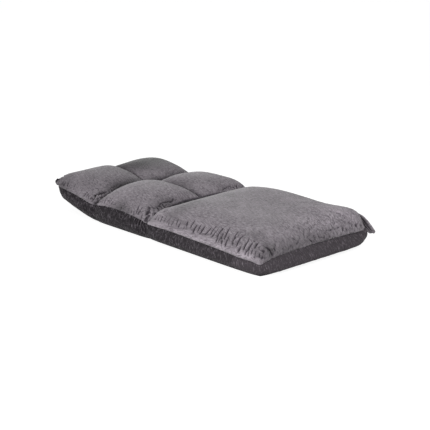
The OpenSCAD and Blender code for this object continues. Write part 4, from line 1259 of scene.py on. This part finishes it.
for name, node in cadNodes.items():
    slots = [slot for word, slot in nodeSlots.items() if word in name and "rivets" not in name]
    material = finishes[slots[-1] if slots else "zinc_steel"]
    if not node.data.materials:
        node.data.materials.append(material)
    for index in range(len(node.data.materials)):
        node.data.materials[index] = material
pieceSlots = {
    "cover_fabric": cushions + [cornerEar],
    "band_fabric": bandPieces + undersidePieces + [headEar],
    "webbing": wovenPieces,
}
for slot, pieces in pieceSlots.items():
    for piece in pieces:
        piece.data.materials.append(finishes[slot])


# Floor, light and camera

studio = {
    "world": 0.48, "floorSize": 40, "floorDrop": 0.5 * mm, "floorGlow": 0.86, "floorGrey": 0.30,
    "floorSeen": 0.7,
    "lamps": {"keyLamp": {"at": (-0.3, -3.0, 1.8), "size": 1.8, "power": 46},
              "fillLamp": {"at": (-3.0, -0.6, 1.2), "size": 1.8, "power": 74}},
}
view = {
    "target": Vector((0, 0.0024, 0.04865)), "back": Vector((-0.6518, -0.7084, 0.2709)),
    "distance": 3.672, "lens": 86.15, "shift": (0.0285, -0.0046),
}


def grey(value):
    return value, value, value, 1


def addObject(name, data, place, facing):
    # Stands at its place and looks back along the way given
    holder = bpy.data.objects.new(name, data)
    holder.location = place
    holder.rotation_euler = (-facing).to_track_quat("-Z", "Y").to_euler()
    bpy.context.scene.collection.objects.link(holder)
    return holder


def makeFloor():
    bm = bmesh.new()
    bmesh.ops.create_grid(bm, x_segments=4, y_segments=4, size=studio["floorSize"])
    bmesh.ops.translate(bm, verts=bm.verts, vec=(0, 0, -studio["floorDrop"]))
    mesh = bpy.data.meshes.new("studioFloor")
    bm.to_mesh(mesh)
    bm.free()
    floor = linkPiece("studioFloor", mesh)
    material = bpy.data.materials.new("studioFloor")
    material.use_nodes = True
    tree = material.node_tree
    tree.nodes.clear()
    plain, soft = [addNode(tree, "BsdfDiffuse", Color=grey(studio[tone])).outputs[0]
                   for tone in ("floorSeen", "floorGrey")]
    glow = addNode(tree, "Emission", Color=grey(1), Strength=studio["floorGlow"]).outputs[0]
    lit = combine(tree, "AddShader", (soft, glow))
    addNode(tree, "OutputMaterial", Surface=combine(tree, "MixShader", (seenByCamera(tree), plain, lit)))
    mesh.materials.append(material)


def seenByCamera(tree):
    path = addNode(tree, "LightPath").outputs
    glossy = math2(tree, "MAXIMUM", path["Is Glossy Ray"], path["Is Transmission Ray"])
    return math2(tree, "MAXIMUM", path["Is Camera Ray"], glossy)


def lightStudio():
    world = bpy.data.worlds.new("studio")
    bpy.context.scene.world = world
    world.use_nodes = True
    tree = world.node_tree
    span = math2(tree, "MULTIPLY", seenByCamera(tree), 1 - studio["world"])
    glow = math2(tree, "ADD", span, studio["world"])
    setSockets(tree, tree.nodes["Background"], Color=grey(1), Strength=glow)
    for name, lamp in studio["lamps"].items():
        light = bpy.data.lights.new(name, "AREA")
        light.shape = "DISK"
        light.size = lamp["size"]
        light.energy = lamp["power"]
        addObject(name, light, lamp["at"], Vector(lamp["at"]))


def placeCamera():
    camera = bpy.data.cameras.new("photoCamera")
    camera.lens = view["lens"]
    camera.shift_x, camera.shift_y = view["shift"]
    camera.clip_end = 200
    place = view["target"] + view["back"].normalized() * view["distance"]
    bpy.context.scene.camera = addObject("photoCamera", camera, place, view["back"])


print("setting up the floor, light and camera")
makeFloor()
lightStudio()
placeCamera()
bpy.context.scene.view_settings.view_transform = "Standard"
